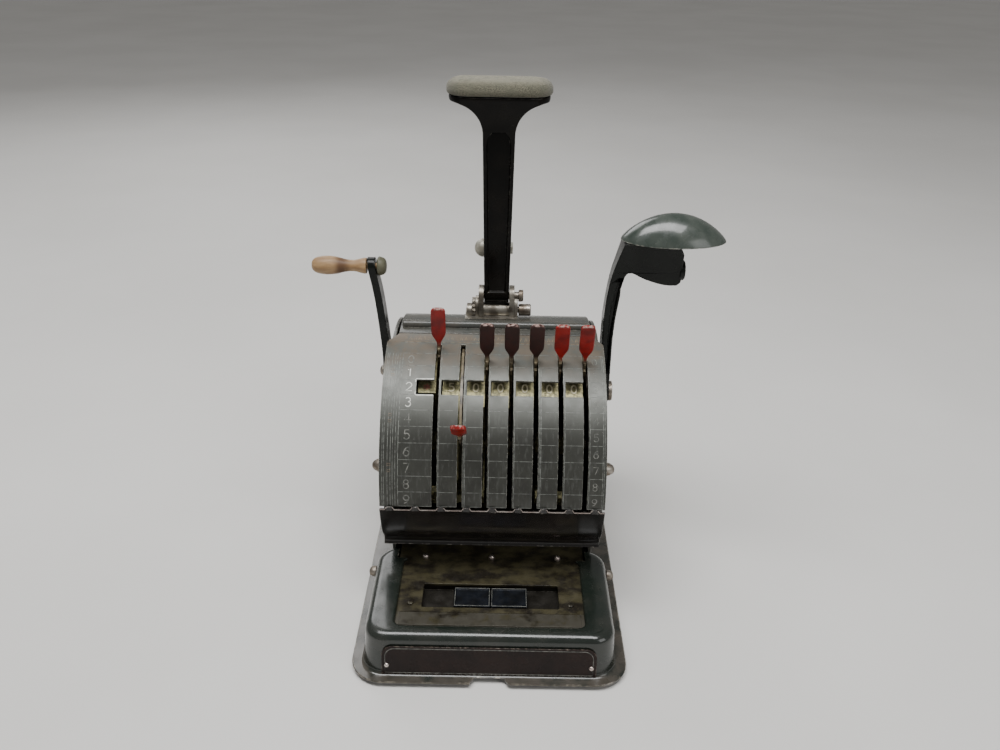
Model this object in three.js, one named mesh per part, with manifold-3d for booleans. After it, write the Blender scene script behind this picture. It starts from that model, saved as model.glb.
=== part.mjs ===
// A desk check writer: seven selector levers on a quarter-drum face, a palm
// lever on the right, a crank with a wooden grip on the left and a padded
// T-handle on top. Millimetres, +Z up, the operator stands on the -Y side.
// The origin is the centre of the underside of the felt base pad.
import * as THREE from 'three';
import { mergeVertices } from 'three/addons/utils/BufferGeometryUtils.js';
import { ConvexGeometry } from 'three/addons/geometries/ConvexGeometry.js';
import Module from 'manifold-3d';

const wasm = await Module();
wasm.setup();

// ---- driving dimensions ----------------------------------------------------
const GAP = 0.3; // running or resting gap between two pieces

const BASE_WIDTH = 165;
const BASE_DEPTH = 230;
const BASE_CORNER = 20;
const FELT_THICKNESS = 2.2;
const FLANGE_BOTTOM = FELT_THICKNESS + GAP;
const SHEET = 1.6;
const FLANGE_TOP = FLANGE_BOTTOM + SHEET;

const DECK_TOP = 30; // top of the pressed front pan
const PAN_HALF_WIDTH = 75;
const PAN_FRONT = -108.5;
const PAN_REAR = -20;
const PAN_FRONT_DRAFT = 3.6;
const PAN_SIDE_DRAFT = 0.8;
const PAN_EDGE_RADIUS = 5.5;
const RECESS_HALF_WIDTH = 56.6;
const RECESS_FRONT = -95;
const PAPER_LEVEL = 27.9; // the surface a check lies on

const BODY_HALF_WIDTH = 69; // half width of the drum face
const CHEEK_INNER = 64.4;
const CHEEK_OUTER = 66.6;
const BODY_REAR = 106;

const DRUM_Y = 42; // axis of the quarter drum and of the selectors
const DRUM_Z = 72;
const FACE_RADIUS = 90;
const FACE_INNER = 88;
const ROW_PITCH = 360 / 56; // degrees from one digit row to the next
const ROW_ZERO = 66.4; // angle of the 0 row above the horizontal
const WINDOW_ROW = 2;

const SELECTOR_COUNT = 7;
const SLOT_PITCH = 15.3;
const FIRST_SLOT = -35.6;
const SLOT_WIDTH = 3;
const WINDOW_WIDTH = 12.4;
// Row in which each selector stands at rest; -1 is the blank position.
const REST_ROWS = [-1, 5, 0, 0, 0, 0, 0];

const SHAFT_RADIUS = 4;
const DIGIT_RADIUS = 81.5;
const TYPE_RADIUS = 43.2;

const CRANK_Y = 38;
const CRANK_Z = 130;
const GRIP_Z = 204;
const PALM_Y = 39;
const PALM_Z = 117;
const HANDLE_Y = 65;
const HANDLE_Z = 174.5;
const BARREL_Z = 164.2;
const HANDLE_TOP = 305.8;

// ---- colours ---------------------------------------------------------------
const COLOURS = {
  enamel: [0x3f4744, 0.38, 0.25],
  gloss: [0x15110f, 0.22, 0.3],
  brass: [0x8d7f4e, 0.5, 0.8],
  aluminium: [0x9b998c, 0.5, 0.85],
  steel: [0x8a8680, 0.4, 0.9],
  red: [0xc2200f, 0.4, 0.1],
  maroon: [0x3a1712, 0.4, 0.1],
  wood: [0x9a7448, 0.55, 0],
  olive: [0x6f6a4e, 0.45, 0.2],
  felt: [0x33302b, 0.95, 0],
  rubber: [0x7f8173, 0.9, 0],
  dark: [0x24231d, 0.6, 0.3],
};

const object = new THREE.Group();

// ---- general helpers -------------------------------------------------------
const radians = THREE.MathUtils.degToRad;
const X_AXIS = new THREE.Vector3(1, 0, 0);
const Y_AXIS = new THREE.Vector3(0, 1, 0);
const Z_AXIS = new THREE.Vector3(0, 0, 1);

function addPiece(name, geometry, look, parent = object) {
  const [color, roughness, metalness] = COLOURS[look];
  const material = new THREE.MeshStandardMaterial({ color, roughness, metalness });
  const mesh = new THREE.Mesh(geometry, material);
  mesh.name = name;
  parent.add(mesh);
  return mesh;
}

// A closed manifold solid from a three.js geometry.
function toSolid(geometry) {
  const bare = geometry.clone();
  bare.deleteAttribute('normal');
  bare.deleteAttribute('uv');
  const merged = mergeVertices(bare, 1e-4);
  const index = merged.index.array;
  const triangles = [];
  for (let i = 0; i < index.length; i += 3) {
    const [a, b, c] = [index[i], index[i + 1], index[i + 2]];
    if (a !== b && b !== c && c !== a) triangles.push(a, b, c);
  }
  return new wasm.Manifold(new wasm.Mesh({
    numProp: 3,
    vertProperties: Float32Array.from(merged.attributes.position.array),
    triVerts: Uint32Array.from(triangles),
  }));
}

function toGeometry(solid) {
  const mesh = solid.getMesh();
  const geometry = new THREE.BufferGeometry();
  geometry.setAttribute('position', new THREE.BufferAttribute(mesh.vertProperties, 3));
  geometry.setIndex(new THREE.BufferAttribute(mesh.triVerts, 1));
  geometry.computeVertexNormals();
  return geometry;
}

function join(...geometries) {
  return toGeometry(geometries.map(toSolid).reduce((a, b) => a.add(b)));
}

function cut(body, ...tools) {
  return toGeometry(tools.map(toSolid).reduce((a, b) => a.subtract(b), toSolid(body)));
}

function common(a, b) {
  return toGeometry(toSolid(a).intersect(toSolid(b)));
}

function extruded(shape, depth, xAxis, yAxis, zAxis) {
  const settings = { depth, bevelEnabled: false, curveSegments: 6 };
  const geometry = new THREE.ExtrudeGeometry(shape, settings);
  return geometry.applyMatrix4(new THREE.Matrix4().makeBasis(xAxis, yAxis, zAxis));
}

// Extrusions of a shape drawn in (y, z), (x, z) or (x, y).
function alongX(shape, x0, x1) {
  return extruded(shape, x1 - x0, Y_AXIS, Z_AXIS, X_AXIS).translate(x0, 0, 0);
}

function alongY(shape, y0, y1) {
  return extruded(shape, y1 - y0, X_AXIS, Z_AXIS, Y_AXIS.clone().negate()).translate(0, y1, 0);
}

function alongZ(shape, z0, z1) {
  return extruded(shape, z1 - z0, X_AXIS, Y_AXIS, Z_AXIS).translate(0, 0, z0);
}

function box(x0, x1, y0, y1, z0, z1) {
  return new THREE.BoxGeometry(x1 - x0, y1 - y0, z1 - z0)
    .translate((x0 + x1) / 2, (y0 + y1) / 2, (z0 + z1) / 2);
}

function rodX(radius, x0, x1, y, z, sides = 20) {
  return new THREE.CylinderGeometry(radius, radius, x1 - x0, sides)
    .rotateZ(-Math.PI / 2)
    .translate((x0 + x1) / 2, y, z);
}

// A turned piece: the profile lists [radius, height] from bottom to top.
function turned(profile, sides = 20) {
  return new THREE.LatheGeometry(profile.map(([r, h]) => new THREE.Vector2(r, h)), sides);
}

function turnedX(profile, y, z, sides = 20) {
  return turned(profile, sides).rotateZ(-Math.PI / 2).translate(0, y, z);
}

function turnedZ(profile, x, y, z, sides = 20) {
  return turned(profile, sides).rotateX(Math.PI / 2).translate(x, y, z);
}

function polygon(points) {
  return new THREE.Shape(points.map(([a, b]) => new THREE.Vector2(a, b)));
}

function roundedRect(x0, x1, y0, y1, radius) {
  const shape = new THREE.Shape();
  shape.moveTo(x0 + radius, y0);
  shape.lineTo(x1 - radius, y0);
  shape.absarc(x1 - radius, y0 + radius, radius, -Math.PI / 2, 0);
  shape.lineTo(x1, y1 - radius);
  shape.absarc(x1 - radius, y1 - radius, radius, 0, Math.PI / 2);
  shape.lineTo(x0 + radius, y1);
  shape.absarc(x0 + radius, y1 - radius, radius, Math.PI / 2, Math.PI);
  shape.lineTo(x0, y0 + radius);
  shape.absarc(x0 + radius, y0 + radius, radius, Math.PI, Math.PI * 1.5);
  return shape;
}

// A bar with two round ends, drawn between two points.
function link(a, b, radiusA, radiusB = radiusA) {
  const turn = Math.atan2(b[1] - a[1], b[0] - a[0]);
  const shape = new THREE.Shape();
  shape.absarc(b[0], b[1], radiusB, turn - Math.PI / 2, turn + Math.PI / 2);
  shape.absarc(a[0], a[1], radiusA, turn + Math.PI / 2, turn + Math.PI * 1.5);
  return shape;
}

// Point of the drum at an angle above the horizontal, seen from the +X side.
function onDrum(angle, radius) {
  return [DRUM_Y - radius * Math.cos(radians(angle)), DRUM_Z + radius * Math.sin(radians(angle))];
}

// Part of a ring about the drum axis between two angles.
function drumBand(inner, outer, from, to, steps) {
  const angles = Array.from({ length: steps + 1 }, (_, i) => from + ((to - from) * i) / steps);
  const rim = angles.map((angle) => onDrum(angle, outer));
  const bore = angles.map((angle) => onDrum(angle, inner)).reverse();
  return polygon([...rim, ...bore]);
}

// Part of a ring about a selector's own axis; offset 0 points at its tab.
function selectorBand(inner, outer, from, to, steps) {
  const at = (offset, radius) => [
    radius * Math.sin(radians(offset)),
    radius * Math.cos(radians(offset)),
  ];
  const offsets = Array.from({ length: steps + 1 }, (_, i) => from + ((to - from) * i) / steps);
  const rim = offsets.map((offset) => at(offset, outer));
  const bore = inner > 0 ? offsets.map((offset) => at(offset, inner)).reverse() : [[0, 0]];
  return polygon([...rim, ...bore]);
}

const rowAngle = (row) => ROW_ZERO - row * ROW_PITCH;
const slotX = (index) => FIRST_SLOT + index * SLOT_PITCH;

// ---- base ------------------------------------------------------------------
// One level of the front pan: a rounded rectangle drawn in by the wall's draft.
function panLevel(z, sideInset, frontInset, wall) {
  const half = PAN_HALF_WIDTH - sideInset - wall;
  const front = PAN_FRONT + frontInset + wall;
  const rear = PAN_REAR - sideInset - wall;
  const radius = 12 - wall;
  const outline = roundedRect(-half, half, front, rear, radius).getPoints(6);
  return outline.map((p) => new THREE.Vector3(p.x, p.y, z));
}

function panBody(wall, bottom) {
  const wallTop = DECK_TOP - PAN_EDGE_RADIUS;
  const points = panLevel(bottom, 0, 0, wall);
  for (let i = 0; i <= 4; i += 1) {
    const turn = (Math.PI / 2) * (i / 4);
    const drawn = (PAN_EDGE_RADIUS - wall) * (1 - Math.cos(turn));
    const z = wallTop + (PAN_EDGE_RADIUS - wall) * Math.sin(turn);
    points.push(...panLevel(z, PAN_SIDE_DRAFT + drawn, PAN_FRONT_DRAFT + drawn, wall));
  }
  return new ConvexGeometry(points);
}

// Outline of the flange, with the finger notch in its front edge.
function flangeOutline() {
  const [w, d, r] = [BASE_WIDTH / 2, BASE_DEPTH / 2, BASE_CORNER];
  const [mouth, floor, depth, round] = [11.5, 6.5, 5.3, 2.5];
  const shape = new THREE.Shape();
  shape.moveTo(-w + r, -d);
  shape.lineTo(-mouth, -d);
  shape.lineTo(-floor - round, -d + depth - 1.2);
  shape.quadraticCurveTo(-floor - 1, -d + depth, -floor + 1, -d + depth);
  shape.lineTo(floor - 1, -d + depth);
  shape.quadraticCurveTo(floor + 1, -d + depth, floor + round, -d + depth - 1.2);
  shape.lineTo(mouth, -d);
  shape.lineTo(w - r, -d);
  shape.absarc(w - r, -d + r, r, -Math.PI / 2, 0);
  shape.lineTo(w, d - r);
  shape.absarc(w - r, d - r, r, 0, Math.PI / 2);
  shape.lineTo(-w + r, d);
  shape.absarc(-w + r, d - r, r, Math.PI / 2, Math.PI);
  shape.lineTo(-w, -d + r);
  shape.absarc(-w + r, -d + r, r, Math.PI, Math.PI * 1.5);
  return shape;
}

function basePan() {
  const flange = alongZ(flangeOutline(), FLANGE_BOTTOM, FLANGE_TOP);
  const outer = panBody(0, FLANGE_TOP - 0.5);
  const hollow = panBody(SHEET, FLANGE_BOTTOM - 1);
  const recess = alongZ(
    roundedRect(-RECESS_HALF_WIDTH, RECESS_HALF_WIDTH, RECESS_FRONT, PAN_REAR + 5, 5),
    PAPER_LEVEL - 3,
    DECK_TOP + 1,
  );
  const throat = box(-61, 61, PAN_REAR - 12, PAN_REAR + 5, FLANGE_TOP + GAP, DECK_TOP + 1);
  return cut(join(flange, outer), hollow, recess, throat);
}

function feltPad() {
  const inset = 9;
  const [w, d] = [BASE_WIDTH / 2 - inset, BASE_DEPTH / 2 - inset];
  return alongZ(roundedRect(-w, w, -d, d, BASE_CORNER - inset + 4), 0, FELT_THICKNESS);
}

// The check slides over this plate: a ramp at the front, an opening over the
// die blocks, two slots for the feed roller and one for the platen.
const FEED_Y = 2;
const FEED_Z = 20.4;
const DECK_PLATE_HALF = 60;

function deckPlate() {
  const slab = box(-DECK_PLATE_HALF, DECK_PLATE_HALF, -98, 68, PAPER_LEVEL - SHEET, PAPER_LEVEL);
  const rampShape = polygon([
    [RECESS_FRONT + 1.4, PAPER_LEVEL - 0.5],
    [-82, PAPER_LEVEL - 0.5],
    [-82, PAPER_LEVEL + 0.1],
    [RECESS_FRONT + 1.4, PAPER_LEVEL + 0.9],
  ]);
  const half = RECESS_HALF_WIDTH - 2;
  const ramp = alongX(rampShape, -half, half);
  const opening = alongZ(roundedRect(-42, 42, -77.4, -56.2, 1), PAPER_LEVEL - 5, PAPER_LEVEL + 2);
  const rollerSlots = [-1, 1].map((side) => {
    const [a, b] = [side * 22 - 10.5, side * 22 + 10.5];
    return box(a, b, FEED_Y - 8, FEED_Y + 8, PAPER_LEVEL - 5, PAPER_LEVEL + 2);
  });
  const platenSlot = box(-50.5, 57.5, DRUM_Y - 6.5, DRUM_Y + 6.5, PAPER_LEVEL - 5, PAPER_LEVEL + 2);
  const linkNotch = box(57.4, 70, 30, 70, PAPER_LEVEL - 5, PAPER_LEVEL + 2);
  return cut(join(slab, ramp), opening, ...rollerSlots, platenSlot, linkNotch);
}

// A shallow tray under the deck opening that carries the two die blocks.
function dieTray() {
  const floor = box(-46, 46, -81, -53, 20.5, 22);
  const rim = box(-46, 46, -81, -53, 21.5, PAPER_LEVEL - SHEET - GAP);
  const inside = box(-44, 44, -79, -55, 22, 30);
  return cut(join(floor, rim), inside);
}

function dieBlock(side) {
  const [near, far] = [0.3 * side, 22.5 * side];
  const [x0, x1] = [Math.min(near, far), Math.max(near, far)];
  const block = box(x0, x1, -75.5, -58.8, 22 + GAP, 27.4);
  const inset = box(x0 + 1.2, x1 - 1.2, -74.3, -60, 26.8, 28);
  return cut(block, inset);
}

// The riveted plate on the sloping front wall of the pan.
const WALL_TILT = Math.atan(PAN_FRONT_DRAFT / (DECK_TOP - PAN_EDGE_RADIUS - FLANGE_TOP));

function onFrontWall(geometry) {
  return geometry.rotateX(-WALL_TILT).translate(0, PAN_FRONT, FLANGE_TOP);
}

function namePlate() {
  const shape = new THREE.Shape();
  shape.moveTo(-63, 0.8);
  shape.lineTo(63, 0.8);
  shape.lineTo(63, 13.5);
  shape.absarc(57, 13.5, 6, 0, Math.PI / 2);
  shape.lineTo(-57, 19.5);
  shape.absarc(-57, 13.5, 6, Math.PI / 2, Math.PI);
  const plate = alongY(shape, -1.1 - 0.2, -GAP - 0.2);
  const holes = [-60, 60].map((x) => {
    return new THREE.CylinderGeometry(0.9, 0.9, 6, 10).translate(x, 0, 7);
  });
  return onFrontWall(cut(plate, ...holes));
}

function plateRivet(x) {
  const profile = [[0, -1.4], [1.5, -1.4], [1.5, -1.8], [1.1, -2.4], [0.4, -2.7], [0, -2.7]];
  const head = turned(profile.reverse(), 12).translate(x, 0, 7);
  return onFrontWall(head);
}

// ---- body ------------------------------------------------------------------
const CHEEK_LOW = FLANGE_TOP + GAP;

function cheekOutline() {
  const arc = Array.from({ length: 20 }, (_, i) => onDrum(3 + i * 6.2, FACE_INNER - 0.6));
  return polygon([
    [-17, CHEEK_LOW],
    [-17, 33],
    [-29, 47],
    [-29, 54],
    ...arc,
    [BODY_REAR - 5.6, 130],
    [BODY_REAR - 1.6, 121],
    [BODY_REAR - 1.6, CHEEK_LOW],
  ]);
}

function cheek(side) {
  const [x0, x1] = side < 0 ? [-CHEEK_OUTER, -CHEEK_INNER] : [CHEEK_INNER, CHEEK_OUTER];
  const plate = alongX(cheekOutline(), x0, x1);
  const bores = [
    rodX(SHAFT_RADIUS + GAP, x0 - 1, x1 + 1, DRUM_Y, DRUM_Z),
    rodX(2.8, x0 - 1, x1 + 1, FEED_Y, FEED_Z),
  ];
  const [leverY, leverZ] = side < 0 ? [CRANK_Y, CRANK_Z] : [PALM_Y, PALM_Z];
  bores.push(rodX(SHAFT_RADIUS + GAP, x0 - 1, x1 + 1, leverY, leverZ));
  return cut(plate, ...bores);
}

const FACE_LOW = rowAngle(9) - ROW_PITCH / 2;
const FACE_STEPS = 24;
const FACE_HIGH = FACE_LOW + (FACE_STEPS * ROW_PITCH) / 2;
const SLOT_HIGH = FACE_LOW + ROW_PITCH * 10.85;

function facePlate() {
  const band = drumBand(FACE_INNER, FACE_RADIUS, FACE_LOW, FACE_HIGH, FACE_STEPS);
  const shell = alongX(band, -BODY_HALF_WIDTH, BODY_HALF_WIDTH);
  const tools = [];
  const slotBand = drumBand(FACE_INNER - 2, FACE_RADIUS + 2, FACE_LOW - 4, SLOT_HIGH, 6);
  const windowAngle = rowAngle(WINDOW_ROW);
  const windowBand = drumBand(
    FACE_INNER - 2,
    FACE_RADIUS + 2,
    windowAngle - ROW_PITCH / 2,
    windowAngle + ROW_PITCH / 2,
    1,
  );
  for (let i = 0; i < SELECTOR_COUNT; i += 1) {
    const x = slotX(i);
    tools.push(alongX(slotBand, x - SLOT_WIDTH / 2, x + SLOT_WIDTH / 2));
    tools.push(alongX(windowBand, x - WINDOW_WIDTH, x));
  }
  // The top corners are cut off slanting, so the face narrows towards the bead.
  const corner = alongY(polygon([[71, 159.2], [71, 164], [62, 164], [62, 161.2]]), 0, 40);
  tools.push(corner, mirrored(corner));
  return cut(shell, ...tools);
}

// Mirror image in X, with its triangles turned round again to face outwards.
function mirrored(geometry) {
  const copy = (geometry.index ? geometry.toNonIndexed() : geometry.clone()).scale(-1, 1, 1);
  const p = copy.attributes.position;
  for (let i = 0; i < p.count; i += 3) {
    const [x, y, z] = [p.getX(i), p.getY(i), p.getZ(i)];
    p.setXYZ(i, p.getX(i + 1), p.getY(i + 1), p.getZ(i + 1));
    p.setXYZ(i + 1, x, y, z);
  }
  return copy;
}

// Top cover: the drum's arc carried on over the top, with a rolled bead in front.
const COVER_FROM = FACE_HIGH + 0.4;
const COVER_TO = 124;

function topCover() {
  const band = drumBand(FACE_INNER, FACE_RADIUS, COVER_FROM, COVER_TO, 12);
  const shell = alongX(band, -62.5, 62.5);
  const bead = rodX(3, -61, 61, DRUM_Y - 1, DRUM_Z + FACE_RADIUS + 0.8, 16);
  return join(shell, bead);
}

// Rear cover: from the end of the arc down to the flange.
function rearCover() {
  const [topY, topZ] = onDrum(COVER_TO + 0.4, FACE_RADIUS);
  const [innerY, innerZ] = onDrum(COVER_TO + 0.4, FACE_INNER);
  const y = BODY_REAR + 0.9;
  const sheet = polygon([
    [topY, topZ],
    [innerY, innerZ],
    [y - 5.4, 132],
    [y - 2, 122],
    [y - 2, CHEEK_LOW],
    [y, CHEEK_LOW],
    [y, 123],
    [y - 3.4, 133.5],
  ]);
  return cut(alongX(sheet, -CHEEK_OUTER, CHEEK_OUTER), ...rearCorners());
}

// The rear cover narrows at its top to the width of the top cover.
function rearCorners() {
  const corner = alongY(polygon([[70, 134], [70, 150], [62.5, 150], [62.5, 140]]), 80, 110);
  return [corner, mirrored(corner)];
}

// Apron under the face: falls slightly inwards, then flares out to a lip. Its
// top edge carries a row of small catches that hook over the face plate.
const CATCH_COUNT = 9;

function apron() {
  const outer = [[-49.2, 79.2], [-46.4, 68], [-42.6, 58], [-37, 50.6], [-34.7, 46.6], [-35.8, 42.4]];
  const inner = outer.map(([y, z]) => [y + 1.3, z + (z < 60 ? 0.9 : 0)]).reverse();
  const sheet = alongX(polygon([...outer, ...inner]), -BODY_HALF_WIDTH, BODY_HALF_WIDTH);
  const catches = Array.from({ length: CATCH_COUNT }, (_, i) => {
    const x = (i - (CATCH_COUNT - 1) / 2) * 15.7;
    return box(x - 1.8, x + 1.8, -49.4, -48, 78, 81.4);
  });
  return join(sheet, ...catches);
}

// A round-headed screw with its axis along X; side is -1 or +1.
function sideScrew(side, y, z, seatX, headRadius, headHeight, shankLength) {
  const profile = [
    [0, -shankLength],
    [headRadius * 0.4, -shankLength],
    [headRadius * 0.4, 0],
    [headRadius, 0],
    [headRadius, headHeight * 0.35],
    [headRadius * 0.75, headHeight * 0.8],
    [headRadius * 0.3, headHeight],
    [0, headHeight],
  ];
  const screw = turned(profile, 14).rotateZ((-side * Math.PI) / 2);
  return screw.translate(side * seatX, y, z);
}

// A round-headed pin standing on a plate.
function domedPin(x, y, z, radius, height) {
  const profile = [
    [0, 0],
    [radius, 0],
    [radius, height * 0.5],
    [radius * 0.7, height * 0.85],
    [0, height],
  ];
  return turnedZ(profile, x, y, z, 12);
}

// ---- selectors -------------------------------------------------------------
const TAB_LENGTH = 30.5;
const TAB_WIDTH = 9;
const TAB_THICKNESS = 2.4;
const TAB_LEAN = 6; // degrees the tab leans back from the radial line
const BLADE_HALF = 0.8;

function selectorTab() {
  const [neck, half, round] = [1.15, TAB_WIDTH / 2, 2.6];
  const top = TAB_LENGTH;
  const shape = new THREE.Shape();
  shape.moveTo(-neck, -3);
  shape.lineTo(neck, -3);
  shape.lineTo(neck, 4.5);
  shape.lineTo(half, 12);
  shape.lineTo(half, top - round);
  shape.absarc(half - round, top - round, round, 0, Math.PI / 2);
  shape.lineTo(-half + round, top);
  shape.absarc(-half + round, top - round, round, Math.PI / 2, Math.PI);
  shape.lineTo(-half, 12);
  shape.lineTo(-neck, 4.5);
  return alongY(shape, -TAB_THICKNESS / 2, TAB_THICKNESS / 2)
    .rotateX(-radians(TAB_LEAN))
    .translate(0, 0, FACE_RADIUS);
}

// The blade runs in the slot of the face and turns on the main shaft.
function selectorLever() {
  const hub = rodX(9, -BLADE_HALF, BLADE_HALF, 0, 0, 20);
  const spoke = alongX(polygon([[-4, 4], [4, 4], [2.6, 84], [-2.6, 84]]), -BLADE_HALF, BLADE_HALF);
  const rim = alongX(selectorBand(79.5, 86.3, -3, 44, 10), -BLADE_HALF, BLADE_HALF);
  const brace = alongX(polygon([[4, 2], [6, 0], [59, 54], [55, 58]]), -BLADE_HALF, BLADE_HALF);
  const neck = box(-BLADE_HALF, BLADE_HALF, -1.9, 1.9, 82, FACE_RADIUS + 1.5);
  const bore = rodX(SHAFT_RADIUS + GAP, -3, 3, 0, 0, 16);
  return cut(join(hub, spoke, rim, brace, neck, selectorTab()), bore);
}

// The casting beside the blade: a rim with the digits read in the window, and
// below the shaft a segment with the ten raised types that print.
function digitSector() {
  const [left, right] = [-WINDOW_WIDTH + 0.3, -BLADE_HALF - GAP];
  const webLeft = right - 1.3;
  const offsetOf = (row) => rowAngle(WINDOW_ROW) - rowAngle(row);
  const typeOf = (row) => -90 - rowAngle(row);
  const [low, high] = [offsetOf(0) - ROW_PITCH, offsetOf(9) + ROW_PITCH / 2];
  const [typeLow, typeHigh] = [typeOf(0) - ROW_PITCH / 2, typeOf(9) + ROW_PITCH / 2];
  const hub = rodX(7.5, left, right, 0, 0, 20);
  const web = alongX(selectorBand(0, DIGIT_RADIUS - 1, low, high, 10), webLeft, right);
  const rim = alongX(selectorBand(DIGIT_RADIUS - 2.2, DIGIT_RADIUS, low, high, 10), left, right);
  const typeWeb = alongX(selectorBand(0, TYPE_RADIUS - 2, typeLow, typeHigh, 10), webLeft, right);
  const inner = TYPE_RADIUS - 6;
  const segment = alongX(selectorBand(inner, TYPE_RADIUS - 0.8, typeLow, typeHigh, 10), left, right);
  const types = Array.from({ length: 10 }, (_, row) => {
    const type = box(left + 2.5, right - 2.5, -1.5, 1.5, TYPE_RADIUS - 1.5, TYPE_RADIUS);
    return type.rotateX(-radians(typeOf(row)));
  });
  const bore = rodX(SHAFT_RADIUS + GAP, left - 1, right + 1, 0, 0, 16);
  return cut(join(hub, web, rim, typeWeb, segment, ...types), bore);
}

// ---- T-handle --------------------------------------------------------------
function handleBracket() {
  const foot = box(-21, 14.5, HANDLE_Y - 11, HANDLE_Y + 9, 159.8, 161.4);
  const barrel = rodX(5, -14, 13, HANDLE_Y, BARREL_Z, 18);
  const earShape = link([HANDLE_Y, BARREL_Z - 2.6], [HANDLE_Y, HANDLE_Z], 7, 7);
  const ears = [alongX(earShape, -12, -8.6), alongX(earShape, 8.6, 12)];
  const sideShape = link([HANDLE_Y, BARREL_Z - 1], [HANDLE_Y, BARREL_Z + 3.5], 6, 6);
  const steps = [alongX(sideShape, -16.5, -11.9), alongX(sideShape, 11.9, 14.5)];
  const endShape = link([HANDLE_Y, BARREL_Z - 1.4], [HANDLE_Y, BARREL_Z - 1], 5, 5);
  steps.push(alongX(endShape, -20, -16.4));
  const seat = rodX(FACE_RADIUS + GAP, -25, 25, DRUM_Y, DRUM_Z, 128);
  const bores = [
    rodX(2.8, -30, 30, HANDLE_Y, HANDLE_Z, 16),
    rodX(2.3, -30, 30, HANDLE_Y, BARREL_Z, 16),
  ];
  return cut(join(foot, barrel, ...ears, ...steps), seat, ...bores);
}

// The arm: a channel section that flares into the plate under the pad.
function handleArm() {
  const [foot, neck, plate, round] = [8.2, 10, 31, 20];
  const [bottom, top] = [HANDLE_Z - 4.9, HANDLE_TOP];
  const shape = new THREE.Shape();
  shape.moveTo(-foot + 1, bottom);
  shape.lineTo(foot - 1, bottom);
  shape.lineTo(foot, bottom + 1);
  shape.lineTo(neck, top - 2.5 - round);
  shape.absarc(neck + round, top - 3.5 - round, round, Math.PI, Math.PI / 2, true);
  shape.lineTo(plate, top - 2);
  shape.lineTo(plate, top);
  shape.lineTo(-plate, top);
  shape.lineTo(-plate, top - 2);
  shape.absarc(-neck - round, top - 3.5 - round, round, Math.PI / 2, 0, true);
  shape.lineTo(-foot, bottom + 1);
  const side = new THREE.Shape();
  side.absarc(HANDLE_Y, HANDLE_Z, 4.9, Math.PI, Math.PI * 2);
  side.lineTo(HANDLE_Y + 8, top - 24);
  side.lineTo(HANDLE_Y + 13, top - 2);
  side.lineTo(HANDLE_Y + 13, top);
  side.lineTo(HANDLE_Y - 13, top);
  side.lineTo(HANDLE_Y - 13, top - 2);
  side.lineTo(HANDLE_Y - 8, top - 24);
  const blank = common(alongY(shape, HANDLE_Y - 20, HANDLE_Y + 20), alongX(side, -40, 40));
  const grooveShape = polygon([
    [-foot + 2.6, bottom + 9],
    [foot - 2.6, bottom + 9],
    [neck - 2.4, top - 22],
    [-neck + 2.4, top - 22],
  ]);
  const front = alongY(grooveShape, HANDLE_Y - 20, HANDLE_Y - 3);
  const rear = alongY(grooveShape, HANDLE_Y + 3, HANDLE_Y + 20);
  const bore = rodX(2.8, -30, 30, HANDLE_Y, HANDLE_Z, 16);
  return cut(blank, front, rear, bore);
}

// Felted rubber pad: a slab with round ends and a soft top edge.
function handlePad() {
  const points = [];
  const levels = [[0, 1.2], [2, 0], [5.4, 0.4], [7.8, 2.2], [9.3, 5], [10, 8.6]];
  for (const [height, inset] of levels) {
    const outline = roundedRect(-32.5 + inset, 32.5 - inset, -14 + inset, 14 - inset, 13 - inset);
    const z = HANDLE_TOP + GAP + height;
    points.push(...outline.getPoints(4).map((p) => new THREE.Vector3(p.x, p.y + HANDLE_Y, z)));
  }
  return new ConvexGeometry(points);
}

// A pin across the bracket with a round nut on its right end.
function bracketPin(z, radius, left, right, nutRadius, nutWidth) {
  const pin = rodX(radius, left, right, HANDLE_Y, z, 14);
  const nut = rodX(nutRadius, right - nutWidth, right, HANDLE_Y, z, 14);
  return join(pin, nut);
}

// Ball-headed cross pin held by a lug on the back of the arm.
const BALL_Z = 203;

function ballKnob() {
  const y = HANDLE_Y + 14.5;
  const lug = box(-3.6, 3.6, HANDLE_Y + 3 + GAP, y + 3.5, BALL_Z - 4.5, BALL_Z + 4.5);
  const ball = new THREE.SphereGeometry(6.2, 16, 12).translate(-9.2, y, BALL_Z);
  const pin = rodX(2.2, -6, 8.5, y, BALL_Z, 12);
  const nut = rodX(4.3, 7.6, 10.4, y, BALL_Z, 6);
  return join(lug, ball, pin, nut);
}

// ---- crank -----------------------------------------------------------------
const EYE_X = -78.6;

// The arm leans outwards as it rises: a side outline cut by a bent front one.
function crankArm() {
  const side = link([CRANK_Y, CRANK_Z], [CRANK_Y, GRIP_Z], 6.2, 5.6);
  const front = [[-71.7, 121], [-71.7, 142], [-72.6, 158], [-74.7, 180], [-76.6, 193], [EYE_X, 204]];
  front.push([EYE_X - 0.6, 212]);
  const outer = front.map(([x, z]) => [x - 2.4, z]);
  const inner = front.map(([x, z]) => [x + 2.4, z]).reverse();
  const slab = alongY(polygon([...outer, ...inner]), CRANK_Y - 12, CRANK_Y + 12);
  const bores = [
    rodX(3.3, -90, -60, CRANK_Y, CRANK_Z, 16),
    rodX(2.3, -90, -60, CRANK_Y, GRIP_Z, 16),
  ];
  return cut(common(alongX(side, -90, -60), slab), ...bores);
}

// Stub shaft through the left cheek, with the screw head outside and the inner
// arm that pushes the feed link inside.
const INNER_ARM = 14;

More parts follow.
